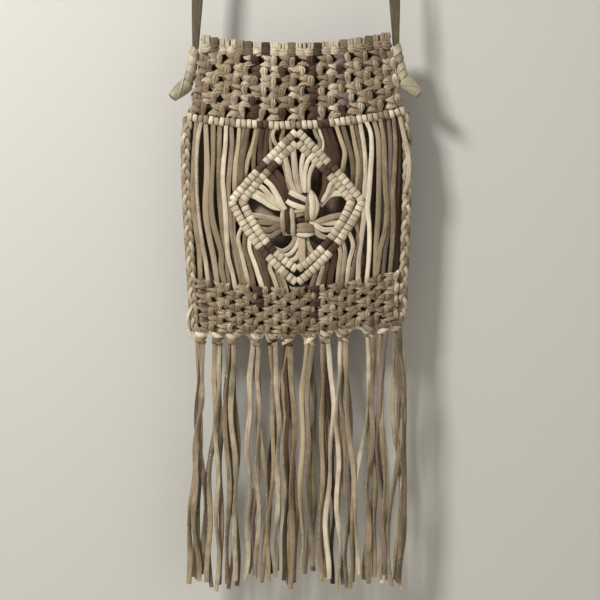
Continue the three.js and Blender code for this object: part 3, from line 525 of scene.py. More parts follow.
def strap_keys():
    def foot(side):
        drop = wrap_top(side) - CLEARANCE
        return np.array([wrap_x(side, drop), 0, RIM_Z - drop])
    radius = ARCH_RADIUS + STRAP_THICKNESS / 2
    shoulder = lambda side: np.array([side * radius, 0, -ARCH_RADIUS])
    climb = np.linspace(0, 1, 9)[:-1, None]

    def leg(side):
        keys = mix(foot(side), shoulder(side), climb)
        keys[:, 0] = mix(foot(side)[0], shoulder(side)[0], climb[:, 0] ** STRAP_EASE)
        keys[:, 0] += 0.8 * np.sin(climb[:, 0] * 9 + side) * np.sin(np.pi * climb[:, 0])
        return keys
    left, right = leg(-1), leg(1)
    angle = np.radians(np.arange(-90, 91, 15))
    arch = np.stack([radius * np.sin(angle), 0 * angle, radius * np.cos(angle) - ARCH_RADIUS], -1)
    return np.concatenate([left, arch, right[::-1]])


strap_run = smooth(strap_keys(), 150)
share = np.linspace(0, 1, len(strap_run))
near_end = np.minimum(share, 1 - share)
strap = LaceWork("strap", placed)
strap.lace(strap_run, "strap", width=mix(STRAP_FOOT_WIDTH, STRAP_WIDTH, np.clip(near_end / 0.045, 0, 1)),
    thickness=STRAP_THICKNESS, turn=np.pi / 2 * np.clip((near_end - 0.03) / 0.17, 0, 1), count=150, sides=14,
    square=0.35, own=0.5)
strap.build()


# %% Windings and beads
WRAP_TURNS, WRAP_LACE = 4, 9.8


def strap_end(side, word):
    top = wrap_top(side)

    def spine(t):
        drop = top + WRAP_LENGTH * t
        return np.array([wrap_x(side, drop) + side * WRAP_LEAN * t * t, 0, RIM_Z - drop])
    ahead = lambda t: unit(spine(t + 0.01) - spine(t - 0.01))
    winding = LaceWork(f"strap_wrap_{word}", placed)
    core = [spine(t) for t in np.linspace(0.02, 0.97, 8)]
    winding.lace(core, "strap", width=6, thickness=5.5, square=0.9, own=0.4)
    angle = np.linspace(-np.pi, np.pi, 25)[:, None]
    for k in range(WRAP_TURNS):
        middle = mix(0.14, 0.86, k / (WRAP_TURNS - 1))
        axis = ahead(middle)
        out = unit(np.cross(axis, FRONT)) * np.sin(angle) + FRONT * np.cos(angle)
        flare = 1.02 + 0.05 * np.sin(angle * 2 + k) + 0.03 * (k % 2)
        keys = [spine(middle + lean) for lean in 0.1 * side * np.sin(angle[:, 0])]
        keys = keys + out * (WRAP_RADIUS - 0.6) * flare
        winding.lace(keys, "leather", width=WRAP_LACE - abs(k - 1.5), thickness=1.4, facing=out - axis * 0.26,
            crown=0.15, count=25, square=0.3, turn=0.12)
    winding.build()
    bead(side, word, spine(1.0), ahead(1.0))


def bead(side, word, start, axis):
    """A strip rolled up on itself: a flattened cone with a seam, a coil on its end and a lip round it."""
    start = start + axis * CLEARANCE
    out = unit(axis + np.array([side * 0.9, -0.3, 0]))
    t = np.linspace(0, 1, 26)
    keys = mix(start + axis * 1.5 - out, start + axis * BEAD_RADIUS * 0.6 + out * BEAD_LENGTH, t[:, None])
    radius = np.interp(t, [0, 0.05, 0.35, 0.65, 0.95, 1], [5.4, 7.3, 7.4, 6.5, 5.2, 4.9])
    angle = np.linspace(0, 2 * np.pi, 32, endpoint=False)[None, :]
    tangent = unit(np.gradient(keys, axis=0))
    across = unit(np.cross(tangent, FRONT))
    up = np.cross(across, tangent)
    swell = radius[:, None] * (1 - 0.16 * np.exp(-((angle - 0.8 - 2.0 * t[:, None]) / 0.14) ** 2))
    rings = (keys[:, None] + across[:, None] * (np.cos(angle) * swell)[..., None]
        + up[:, None] * (np.sin(angle) * np.minimum(swell, BEAD_DEPTH))[..., None])
    marks = np.zeros(rings.shape)
    marks[..., 0] = angle * 5
    marks[..., 1] = (t[:, None] * 2 - 1) * 0.7
    marks[..., 2] = 0.45 + 0.1 * side
    roll = LaceWork(f"strap_bead_{word}", placed)
    roll.skin(rings, marks, "leather")
    sweep = np.linspace(0, 4.6 * np.pi, 44)
    coil = [keys[-1] + tangent[-1] * 0.15
        + (across[-1] * np.cos(a) + up[-1] * np.sin(a)) * (0.5 + 3.9 * a / sweep[-1]) for a in sweep]
    roll.lace(coil, "leather", width=0.95, thickness=1.1, facing=tangent[-1], count=60, sides=6)
    along = np.linspace(0.06, 0.94, 18)
    rows, bends = (along * 25).astype(int), 0.6 + 2.0 * along
    lip = (keys[rows] + across[rows] * (np.cos(bends) * radius[rows])[:, None]
        + up[rows] * (np.sin(bends) * np.minimum(radius[rows], BEAD_DEPTH))[:, None])
    roll.lace(lip, "leather", width=1.8, thickness=1.2, facing=lip - keys[rows], count=40, own=0.8)
    roll.build()


strap_end(-1, "left")
strap_end(1, "right")

# %% [markdown]
# ## The rim: a holding cord and lark's heads
#
# Each lace is folded in half and hung on the holding cord with a lark's head: its strands come up over the
# cord, and the fold lies across them. Seen from the front that is three narrow ribs or a wide one at the
# very top, and a creased cup under them.

# %% Rim
HEAD_TONES = "cocctocbccoccbccoctott"
WIDE_HEADS = {1, 5, 7, 10, 13, 16, 19}
HEAD_PITCH = 2 * (RIM_HALF - 1) / HEADS

cord = LaceWork("holding_cord")
cord_x = np.linspace(-RIM_HALF + 0.5, RIM_HALF - 0.5, 24)
cord.lace([at(x, rim_drop(x) + 3.4, 3) for x in cord_x], "taupe", width=3, thickness=3, square=0.9, own=0.5)
cord.build()


def lark_head(work, k, tone):
    """Strands come up over the cord from behind, and the fold lies across them as a bulging cup."""
    x = -RIM_HALF + 1 + HEAD_PITCH * (k + 0.5)
    top, foot, own = float(rim_drop(x)), float(band_top(x)) + 1.4, random.uniform(0.1, 0.75)
    ribs = [(0, 0.96)] if k in WIDE_HEADS else [(-0.34, 0.36), (0.0, 0.34), (0.34, 0.36)]
    for place, width in ribs:
        across, lean = x + HEAD_PITCH * place + jitter(0.15), random.normal(0.3, 0.5)
        rise = jitter(0.35)
        keys = [at(across, top + 8.4, 0.9), at(across, top + 3, 0.8), at(across, top + rise, 2.2),
            at(across + lean / 2, top + 0.2 + rise, 4.4), at(across + lean, top + 3.6, 5.7),
            at(across, mix(top, foot, 0.66), 5.2)]
        out = [[0, 1, 0], [0, 1, 0.2], [0, 0.3, 1], [0, -0.6, 1], [0, -1, 0.2], [0, -1, 0]]
        work.lace(keys, tone, width=HEAD_PITCH * width, thickness=1.2, facing=out, crown=0.4, count=18,
            own=own)
    half, tilt = HEAD_PITCH * 0.5, jitter(0.5)
    cup = foot - 3.4 + jitter(0.4)
    keys = [at(x - half, cup - 1.2 - tilt, 3.2), at(x - half * 0.66, cup - tilt * 0.6, 6.0),
        at(x, cup + 0.5, 7.0),
        at(x + half * 0.66, cup + tilt * 0.6, 6.0), at(x + half, cup - 1.2 + tilt, 3.2)]
    work.lace(keys, tone, width=[4.4, 7.6, 9.0, 7.6, 4.4], thickness=1.5, crown=1.0, count=16, folds=3,
        own=own)


heads = LaceWork("mounting_knots")
for k, code in enumerate(HEAD_TONES):
    lark_head(heads, k, CODES[code])
heads.build()

# %% [markdown]
# ## Square knots
#
# A square knot is tied by its two outer cords round the two inner ones. On its face the left cord crosses
# twice, as two bars one above the other, and the right cord stands over their ends as an upright bump. The
# next row takes two cords from each of two neighbours, so the knots step sideways by half a pitch and leave
# a gap between every four. A dark cord therefore zigzags down: bump, bars, bump, bars.

# %% Square knots
def band_layout(rows, top, bottom, left, right):
    """Turns the grid of a band (knots across, rows down) into x and drop."""
    def place(a, b):
        u = (np.asarray(a, float) + KNOT_MARGIN) / (2 * KNOTS_ACROSS - 1 + 2 * KNOT_MARGIN)
        v = (np.asarray(b, float) + KNOT_MARGIN) / (rows + 2 * KNOT_MARGIN)
        x = 0 * u
        for _ in range(4):
            drop = mix(top(x), bottom(x), v)
            x = mix(left(drop), right(drop), u)
        return x, drop
    return place


UPPER_ROWS, LOWER_ROWS, LOWER_CREST = 6, 7, (229, 240, 221)
upper_layout = band_layout(UPPER_ROWS, band_top, lambda x: bar_drop(x) - BAR_RADIUS - CLEARANCE,
    lambda drop: -upper_half(drop), upper_half)
lower_layout = band_layout(LOWER_ROWS, line_across(LOWER_CREST, BAR_HALF), foot_drop, braid_inner(-1),
    braid_inner(1))


def grid(rows):
    return np.array([[float(value) for value in row.split()] for row in rows.split(";")])


# Each row: across and down from the knot's middle in grid steps, depth in mm, share of the width, and turn
BARS = grid("""
-.92 -.86 .4 .3 0; -.8 -.6 2.6 .36 .5; -.52 -.36 5.6 .86 .7; -.12 -.23 7.5 1.26 .4; .26 -.19 6.2 1.22 .1;
.5 -.1 3.4 .7 0; .58 .03 2.2 .5 0; .5 .15 3.4 .7 0; .26 .22 5.8 1.22 .1; -.12 .27 7.1 1.26 -.15;
-.52 .38 5.4 .86 -.55; -.8 .58 2.6 .36 -.5; -.92 .86 .4 .3 0
""")
BUMP = grid("""
.74 -.82 .4 .35 .1; .62 -.5 4.6 .72 .3; .54 -.04 8.4 1.36 .4; .58 .42 5 .78 .3; .72 .78 .4 .35 .1
""")
FILLERS = [grid("""
-.2 -.78 1.8 .9 .2; -.16 0 3 .9 0; -.26 .56 3.6 .9 0; -.62 .96 1.8 .7 0
"""), grid("""
.2 -.78 1.8 .9 -.2; .16 0 3 .9 0; .28 .56 3.6 .9 0; .6 .96 1.8 .7 0
""")]


def square_knot(work, layout, i, j, bar_width, left, right):
    shift, size = jitter(0.05, 2), random.normal(1.02, 0.05)
    swing = jitter(0.08)

    def tie(keys, width, tone, crown, count, folds=0):
        across, down = keys[:, 0] * size, keys[:, 1] * size
        nudge = jitter(0.03, (2, len(keys)))
        x, drop = layout(i + 0.5 + across - swing * down + shift[0] + nudge[0], j + 0.5 + down + swing * across
            + shift[1] + nudge[1])
        depth = keys[:, 2] + jitter(0.3, len(keys)) * (keys[:, 2] > 2)
        facing = FRONT + np.array([jitter(0.18), 0, jitter(0.18)])
        # painted highlight: laces are made paler where they stand about 3.9 mm out, on the slopes of each knot
        # that catch the light
        painted_highlight = random.uniform(0.5, 1.5) * np.exp(-((keys[:, 2] - 3.9) / 1.5) ** 2)
        work.lace(np.stack([x, -depth, -drop], -1), tone[0], width=width * keys[:, 3] * random.normal(1, 0.06),
            thickness=1.6, facing=facing, turn=keys[:, 4] + jitter(0.15), count=count, crown=crown,
            own=tone[1] + painted_highlight, folds=folds)
    tie(BARS, bar_width, left, 0.9, 44, folds=3)
    tie(BUMP, mix(LACE_WIDTH, bar_width, 0.6), right, 1.1, 14, folds=3)
    for filler, tone in zip(FILLERS, (left, right)):
        tie(filler, LACE_WIDTH, tone, 0.3, 9)


def edge_loops(work, layout, rows, first, tones):
    """The outermost laces of a short row pass it by as plain upright loops."""
    for j in range(1 - first, rows, 2):
        for a, tone, side in ((0.15, tones[0], -1), (2 * KNOTS_ACROSS - 1.15, tones[-1], 1)):
            for shift, deep in ((0.0, 4.0), (0.34, 2.8), (0.68, 2.0)):
                across = a + side * np.array([-0.15, 0.05, 0.12, 0.05, -0.15])
                x, drop = layout(across - side * shift, j + np.array([-0.3, 0.15, 0.5, 0.85, 1.3]))
                keys = np.stack([x, -(deep + np.array([-1.5, 0, 0.8, 0, -1.5])), -drop], -1)
                work.lace(keys, tone[0], width=[3, 4.2, 4.6, 4.2, 3], thickness=1.5, crown=0.6, count=14,
                    own=tone[1])


def knot_band(work, layout, rows, first, bar_width, cords, solid):
    """Cords are given as pairs; the left one of a pair makes bars, and the right one makes bumps."""
    cords = cords.split()
    own = random.random((len(cords), 2)) * 0.6 + 0.04
    own[1:, 1] = own[:-1, 0]

    def tone(pair, role):
        code = cords[pair][role]
        code = "n" if code == "b" and random.random() > solid else code
        return CODES[code], own[pair, role] * 0.55 + (0 if code == "c" else 0.3) + jitter(0.12)
    for j in range(rows):
        for i in range((j + first) % 2, 2 * KNOTS_ACROSS - 1, 2):
            square_knot(work, layout, i, j, bar_width, tone(i, 0), tone(i + 1, 1))
    edge_loops(work, layout, rows, first, [tone(0, 0), tone(len(cords) - 1, 1)])


upper = LaceWork("upper_knot_band")
knot_band(upper, upper_layout, UPPER_ROWS, 1, 6.4,
    "tt ct nc tn ct cc bb cc cc tb ct nc bb tc ct lb cc tc nt tn ct tc", 0.85)
upper.build("cream")

# %% [markdown]
# ## Half hitches
#
# A row of double half hitches is a core cord with every other cord wound round it, so it reads as a string
# of small upright turns. Each turn is its own short ring of lace, leaning a little along the core, with the
# cut edges showing as fine grooves: bumped in, and painted darker as shade.

# %% Half hitches
def hitch(work, centre, along, radii, finish, width, lean, square, crown):
    """One turn of lace round a core: a ring that leans along it, and closes behind it."""
    along = unit(np.asarray(along, float))
    across = unit(np.cross(along, FRONT))
    angle = np.linspace(-np.pi, np.pi, 21)
    c, s = np.cos(angle), np.sin(angle)
    round_s, round_c = np.sign(s) * np.abs(s) ** 0.8, np.sign(c) * np.abs(c) ** 0.8
    keys = (np.asarray(centre) + across * (round_s * radii[0])[:, None] + FRONT * (round_c * radii[1])[:, None]
        + along * (lean * angle / np.pi)[:, None])
    facing = across * s[:, None] + FRONT * c[:, None]
    own = 0.45 + 0.55 * random.random()
    work.lace(keys, finish, width=width, thickness=1.3, facing=facing, count=21, square=square, crown=crown,
        own=own)


BAR_BROWN = ((-38.5, -28.5), (24.5, 34.5))
BAR_TAUPE = ((-98, -88), (-70, -60), (-4.5, 4.5), (52, 61.5), (81, 95))


def bar_tone(x):
    inside = lambda spans: any(low <= x <= high for low, high in spans)
    return "brown" if inside(BAR_BROWN) else "taupe" if inside(BAR_TAUPE) else "cream"


def cording_bar():
    work = LaceWork("cording_bar")
    reach = BAR_HALF + 1
    line = np.linspace(-reach, reach, 60)
    work.lace([at(x, bar_drop(x), 3.4) for x in line], "taupe", width=5, thickness=4.5, square=0.9, own=0.4)
    count = round(2 * reach / HITCH_PITCH)
    for k in range(count):
        x = mix(-reach, reach, (k + 0.5) / count)
        along = np.array(at(x + 0.5, bar_drop(x + 0.5))) - np.array(at(x - 0.5, bar_drop(x - 0.5)))
        tall = BAR_RADIUS - 0.8 + jitter(0.2)
        hitch(work, at(x, bar_drop(x) + jitter(0.25), 3.7), along + jitter(0.06, 3) * [1, 0, 1],
            (tall, 2.9 + jitter(0.15)), bar_tone(x), 5.0, lean=0.9 + jitter(0.35), square=0.5, crown=0.7)
    return work

# %% [markdown]
# ## The diamond
#
# Four sides of two rows each. Two core cords start together at the top, part to the corners and meet again
# at the bottom, and every hanging lace they pass is hitched on. Two dark laces cross each side near its
# middle.

# %% Diamond
# Which way the side runs from its tip, where that tip is, its bow in mm, and where each row's dark turns start
SIDES = {"upper_left": (-1, "top", 1.5, (0.48, 0.38)), "upper_right": (1, "top", 1.5, (0.48, 0.45)),
         "lower_left": (-1, "bottom", 6.5, (0.37, 0.33)), "lower_right": (1, "bottom", 6.5, (0.41, 0.36))}


def side_point(name, inset, t):
    """A point on a side of the diamond, t from its tip to its side corner; the side bows outwards."""
    side, end, bow, _ = SIDES[name]
    upper = math.hypot(DIAMOND_HALF, DIAMOND_MIDDLE - DIAMOND_TOP)
    lower = math.hypot(DIAMOND_HALF, DIAMOND_BOTTOM - DIAMOND_MIDDLE)
    half = DIAMOND_HALF - inset * upper / (DIAMOND_MIDDLE - DIAMOND_TOP)
    tip_drop = (DIAMOND_TOP + inset * upper / DIAMOND_HALF if end == "top"
        else DIAMOND_BOTTOM - inset * lower / DIAMOND_HALF)
    tip = np.array([DIAMOND_CENTRE, tip_drop])
    corner = np.array([DIAMOND_CENTRE + side * half, DIAMOND_MIDDLE])
    run = unit(corner - tip)
    outward = np.array([abs(run[1]) * np.sign(run[0]), -abs(run[0]) * np.sign(run[1])])
    return mix(tip, corner, t) + outward * 4 * bow * t * (1 - t)


def diamond_row(name, row):
    """Turns stand close together, and the first ones lie over the bar's lower edge."""
    work = LaceWork(f"diamond_{name}_{'inner' if row else 'outer'}")
    at_top, dark = SIDES[name][1] == "top", SIDES[name][3][row]
    inset = row * (2 * ROW_RADIUS + CLEARANCE)
    run = np.array([at(*side_point(name, inset, t)) for t in np.linspace(0, 1, 40)])
    length = np.linalg.norm(np.diff(run, axis=0), axis=1).sum()
    turns = round((length - ROW_RADIUS) / HITCH_PITCH) + (not at_top)
    work.lace(run[1:-1], "taupe", width=5, thickness=4.5, square=0.9, own=0.4, count=30)
    for k in range(turns):
        t = (k * HITCH_PITCH + ROW_RADIUS * 0.9) / length
        before, here, after = (np.array(at(*side_point(name, inset, t + d))) for d in (-0.01, 0, 0.01))
        brown = dark <= t < dark + 2 * HITCH_PITCH / length
        tone = "brown" if brown else "tan" if random.random() < 0.05 else "cream"
        slim = 0.35 if brown else 0
        here[1] -= 0.4 + 1.4 * max(0, 1 - t / 0.12) * at_top
        hitch(work, here + jitter(0.14, 3) * [1, 0, 1], after - before + jitter(0.05, 3) * [1, 0, 1],
            (ROW_RADIUS - 0.5 - slim, 2.9 - slim), tone, 5.3, lean=0.25, square=0.3, crown=0.45)
    if at_top:
        corner = np.array(at(*side_point(name, inset, 1), 3.6))
        hitch(work, corner, (0, 0, -1), (ROW_RADIUS - 0.9, 2.8), "taupe", 5.2, lean=0.4, square=0.35,
            crown=0.5)
    work.build("cream")


for name in SIDES:
    for row in (0, 1):
        diamond_row(name, row)

# %% [markdown]
# ## Laces from the bar to the diamond
#
# The laces between the bar and the upper sides are in the same piece as the bar. They leave it from under
# its turns, lean inwards and bend back over the row that they are hitched to.

# %% Bar with its short laces
def strands(table):
    """Reads a table with a line for each lace: finish code, width, depth, and its x,drop points, in mm."""
    lines = [line.split() for line in table.strip().splitlines()]
    return [(CODES[code], float(width), float(depth),
        [tuple(map(float, place.split(","))) for place in places]) for code, width, depth, *places in lines]


def routed(work, laces, thickness=1.8, sway=0.3, tuck=0.0):
    """Runs each lace of a table along its points, and tucks its end in a little further."""
    for finish, width, depth, places in laces:
        if tuck:
            (x, drop), (last_x, last_drop) = places[-2:]
            reach = tuck / math.hypot(last_x - x, last_drop - drop)
            places = places + [(mix(last_x, 2 * last_x - x, reach),
                mix(last_drop, 2 * last_drop - drop, reach))]
        n = len(places)
        share = np.linspace(0, 1, n)
        lift = depth + 1.1 * np.sin(np.pi * share)
        lift[-1] = min(lift[-1], 1.4) if tuck else lift[-1]
        keys = [at(x, drop, d) for (x, drop), d in zip(places, lift)]
        widths = width * (0.84 + 0.2 * np.sin(np.pi * share) + jitter(0.03, n))
        turn = jitter(sway) + sway * np.sin(share * random.uniform(3, 8) + random.random() * 6)
        turn = turn * np.sin(np.pi * share) ** 0.5
        work.lace(keys, finish, width=widths, thickness=thickness, turn=turn, crown=0.3)


LACES_DOWN = strands("""
n 4.6 3.4 -56,78 -57.4,100 -59.6,116 -61,141
t 4.2 2.6 -51,79 -53.6,96 -57,112 -58,138
o 4.6 3.6 -47,80 -50,97 -53.1,114 -54.5,133
n 4.8 2.8 -39,80 -42.4,99 -47.2,113 -50.5,128
o 4 3.6 -36,81 -39.5,96 -41.5,108 -42,122
b 5.2 3 -32.5,81 -34.5,94 -35.3,106 -36,118
b 4.6 3.8 -27.5,81 -29,92 -29.6,102 -31,112
t 4.2 2.6 -23.5,82 -26,91 -25.5,99 -24,107
c 4 4 -20,82 -23,90 -21.6,96 -18,102
n 4 3.2 -12,82 -13,88 -14.6,93 -14,99
n 4 3.4 17.5,82 19.7,89 24,97 22,104
c 3.6 2.8 22,82 25,90 27,98 26,106
b 5.4 3.8 27.4,80 31.4,94 35.6,108 38,118
b 5 3 32.4,80 36.8,94 40,106 42,118
n 4.6 4 39.4,79 44,93 48.3,107 46.5,122
o 5 3 46,79 51.5,98 55.8,114 57,132
n 4.6 3.8 54.5,77 58.4,98 61.6,116 60.5,140
t 4.4 2.8 58.6,77 62.6,96 64.6,114 63.6,144
""")
bar = cording_bar()
routed(bar, LACES_DOWN, tuck=4)
bar.build("cream")

# %% [markdown]
# ## The gathered laces and the centre knot
#
# Inside the diamond the laces of the four inner rows are drawn together and tied in the middle, so they fan
# in from all sides in soft arcs. Three windings cover the tie: an upright spindle at the right, three
# upright turns at the left with a dark one between, and three level turns below them.

# %% Gathered laces
GATHERED = {
    "upper_left": """
c 5.6 4.6 -35,131 -25,139.5 -19.5,148.5 -13,160 -9,166
c 5.6 4.2 -43,137 -33,142 -26.5,149 -16.7,159 -10,165
c 5.4 3.6 -50,142 -39,146.3 -30.7,152 -18,160 -10,164
c 5.6 3.2 -56,149 -44,149.2 -33,154.8 -22.3,161 -10,163.5
b 6.3 3.4 -29,126 -18.5,138 -13,152 -8.5,164
b 6.1 2.4 -24,121 -14,134 -9.5,150 -6,164
n 5.1 2.6 -15,110 -10,124 -6.5,140 -3,152
""",
    "upper_middle": """
c 5.8 4.6 -12,107 -8.4,122 -5.5,136 0,148
c 6.1 4.4 -3,100 -1.5,118 0.5,134 4.5,148
b 5.4 3.4 12,106 12.2,122 11.4,135 9,150
c 6.1 6 -6.5,146.5 -1,149.4 5,152 12,155
b 6.6 5.4 -11,147.5 -5,151.5 2,156 10,160
c 5.8 6.2 -9,155 -4,158.5 2,160.8 10,162.5
n 4.2 5.2 -3,166.5 2,165.4 6,164.8 10,164.5
n 4.2 4.6 -3,172 2,169.5 6,168.4 10,168
b 4.7 3.6 -3,175 2,174.6 6,174.4 11,174.4
""",
    "upper_right": """
c 4.9 4 14,101 7.5,110 5.6,122 7,146
c 4.6 4.6 21,109 13,114 9.6,124 9,147
c 4.4 4 27,114.5 18,119 13.6,128 13,147
b 6.1 3.6 31,121 29.4,130 28.4,142 24,156
c 4.9 4 45,133 35.5,137.5 31,146 26,156
c 4.9 3.6 51,139.5 40,141.5 32,149 25,158
c 6.1 3.2 56,149 45,147.4 35,148.5 24,160
""",
    "lower_left": """
c 5.8 4.4 -47,168.5 -35,170 -24,172.4 -13,174.5
n 5.6 3.6 -42,176 -29.3,176.2 -20,176.6 -12,177.5
n 5.6 4.2 -37,182 -26.5,183.6 -19,181 -12,179.5
l 5.1 3.4 -31,189 -23.5,190 -18.5,186 -12,182
b 5.4 2.6 -29,196 -21,191 -17.5,184 -11,178
""",
    "lower_middle": """
c 4.6 4.2 -22,201.5 -13,204.5 -5,199.5 0.5,188
c 4.8 3.6 -16,207.5 -7,208 0,200.4 3.5,188
c 4.9 3.2 -7,214.5 0,211.6 4.2,203.2 6,189
n 7 5.2 6,190 5.8,199 5.8,207 7.4,221
c 4.4 3 20,209.5 15.5,205 12.6,198 11.4,189
n 4.2 2.6 13,215 11.8,206 11,198 10.5,189
""",
    "lower_right": """
n 5.8 4.6 51,168 36,170.8 26,174 17,177.5
c 5.6 3.6 45,175.5 33,176.8 24,176 15,177
c 5.6 5 37,183 27,183.5 20,179.8 13,177.4
c 5.6 4 31,191.5 23,188.6 18.4,183 14,179.5
b 5.6 2.6 28,199 20,200.5 14.5,195 10.5,188
""",
}

for word, table in GATHERED.items():
    bundle = LaceWork(f"gathered_{word}")
    routed(bundle, strands(table), 1.9, 0.15)
    bundle.build()


# %% Centre knot
def winding_strip(work, finish, width, top, places, foot=2.6):
    """One turn that rises out of the knot, crosses its face and goes in again."""
    start, middle, end = np.array(places)
    shoulder = mix(foot, top, 0.75)
    keys = [at(*start, foot), at(*mix(start, middle, 0.35), shoulder), at(*middle, top),
        at(*mix(end, middle, 0.35), shoulder), at(*end, foot)]
    widths = [width * 0.35, width * 0.88, width, width * 0.85, width * 0.3]
    work.lace(keys, finish, width=widths, thickness=1.8, crown=0.5, count=26, sides=10)


def centre_wrap(word, slot, turns, finish, width, core):
    work = LaceWork(f"centre_wrap_{word}")
    for turn in strands(turns):
        winding_strip(work, *turn)
    work.lace([at(*place) for place in core], finish, width=width, thickness=5, square=0.8)
    work.build(slot)


centre_wrap("right", "cream", """
n 5.6 9.0 13.4,146 11.8,161 10.6,177.5
c 6.2 9.6 14.8,144.5 16.2,160 15.4,176
c 5.2 8.6 16.4,146 20.8,160 17.6,174.5
""", "tan", [5, 12, 5], [(15.5, 147, 4), (15.8, 160, 4.6), (14, 175, 4)])
centre_wrap("left", "taupe", """
c 5.4 7.8 -12.6,162.5 -13.2,175 -11.6,189
b 6.0 8.6 -9,161.5 -8.2,175.5 -7.2,190.5
c 5.4 8.2 -4.4,160.5 -3.6,176 -2.4,192.5
""", "taupe", [7, 12, 7], [(-9, 164, 4), (-8.3, 176, 4.4), (-7, 189, 4)])
centre_wrap("lower", "cream", """
n 5.6 8.4 -0.5,180.4 9,179.6 19.4,181.2
n 5.2 9.0 -0.5,184.4 9,184.6 19.8,184.6
c 4.8 8.2 0,188 9,189.2 18.6,187.4
""", "tan", [7, 11, 6], [(1, 184, 4), (9.5, 184.5, 4.4), (18.4, 184, 4)])

# %% [markdown]
# ## The hanging laces
#
# Beside the diamond the laces hang free from the bar to the lower band, in two loose layers, with dark
# shade between them. Most lean outwards round the diamond's corner and back again.

# %% Hanging laces
HANGING = {"left": strands("""
t 5.3 3.4 -64.2,80 -63.6,99 -64.9,115 -66.8,136 -67.5,152 -66,168 -63.6,186 -60.6,204 -55,232
c 5.1 4.9 -69.4,80 -70,99 -72,119 -72.6,136 -71.3,151 -70,165 -68.7,191 -67.4,210 -62.9,227 -60.5,240
n 5.5 3 -75.8,79 -76.5,106 -76.5,132 -75.2,158 -73.3,178 -72.2,196 -70,214 -67,238
o 5.7 4.4 -82.3,77 -82.3,92 -82.3,112 -83.6,136 -84.2,158 -82.3,176 -77.4,194 -74.3,206 -74.2,222 -70.5,238
t 5.9 3.2 -90.2,76 -89.4,92 -88.7,112 -88.7,132 -90.2,155 -89.4,172 -86.2,191 -82.3,210 -78.2,237
c 5.1 4.8 -94.5,75 -97.6,90 -99.1,108 -99.1,128 -98.4,151 -95.8,178 -93.3,197 -90,214 -87.2,234
n 5.1 3.4 -99.1,73 -101,95 -102.6,125 -102.8,151 -99.6,182 -96.5,204 -95.4,232
"""), "right": strands("""
c 5.3 3.4 63.5,77 66.6,94 68.4,112 68.6,132 68.2,152 67.4,172 64.7,192 62.4,212 61.6,234
c 5.1 4.9 69.4,75 73.8,85 75.2,101 74,124 72.4,146 71,161 72.8,179 73,199 70.8,230
t 5.5 3.6 77.2,73 81.2,88 82.6,108 82.6,141 81.8,170 79.6,199 78.4,230
n 5.1 4.8 83.6,72 87,92 88.2,116 89,142 90.6,162 89,181 84,202 80.6,226
l 4.8 3 92,70 94,94 93.2,126 92.6,155 91.6,184 88.6,206 86.4,228
n 4.8 4.4 97,68 99,94 97.9,126 96.5,148 97,170 96.3,192 93.5,226
b 5.3 2.8 101.4,68 102.6,108 101.4,138 99.2,168 98.6,196 98,224
""")}
# A second lace behind some of them: its finish, and how far aside it hangs
UNDERNEATH = {"left": {1: ("olive", 3.2), 4: ("brown", 3.4), 5: ("brown", -3.4)},
              "right": {0: ("taupe", -3.4), 1: ("brown", 4.4), 3: ("olive", 4.0), 4: ("brown", 3.0)}}

for word, laces in HANGING.items():
    for k, strand in enumerate(laces):
        hanging = LaceWork(f"hanging_lace_{word}_{k + 1}")
        routed(hanging, [strand], 1.8, 0.35, tuck=7)
        if k in UNDERNEATH[word]:
            finish, aside = UNDERNEATH[word][k]
            under = [(x + aside + jitter(0.4), drop) for x, drop in strand[3]]
            routed(hanging, [(finish, 4.2, 0.6, under)], 1.6, 0.3, tuck=6)
        hanging.build()

# %% [markdown]
# ## The side braids
#
# A flat braid of three laces joins the front to the back down each side. Each strand swings from side to
# side a third of a turn after the one before it, and twice as often in and out, and that is the whole
# braid.

# %% Side braids
def side_braid(side, word, codes, loose):
    work = LaceWork(f"side_braid_{word}")
    top = float(bar_drop(side * BAR_HALF)) + 1
    bottom = float(foot_drop(side * BAR_HALF)) + 1
    count = 150
    drop = np.linspace(top, bottom, count)
    for n, code in enumerate(codes):
        phase = 2 * np.pi * ((drop - top) / (3 * BRAID_LINK) + n / 3)
        swing = 2.9 * np.sin(phase) + jitter(0.1)
        depth = 3.2 + 1.2 * np.sin(2 * phase)
        keys = np.stack([braid_line(side, np.maximum(drop, BAR[1])) + swing, -depth, -drop], -1)
        lean = np.stack([0.5 * np.sin(phase), 0 * drop - 1, 0 * drop], -1)
        work.lace(keys, CODES[code], width=4.2, thickness=1.6, facing=lean, count=count, crown=0.3,
            square=0.35)
    routed(work, strands(loose))
    work.build("cream")


side_braid(-1, "left", "ctn", "c 3.6 5.2 -103,258 -107.5,268 -108.6,278 -106,287 -100,292")
side_braid(1, "right", "cnc", "c 5.0 5.8 103.6,70 107.4,88 111.4,106 112.8,122 111.4,135 108,146")

# %% [markdown]
# ## The lower band
#
# The same square knots again, drawn flatter, with the laces that come down from the diamond in the same
# piece. Along its foot a lace arches from each tassel to the next.

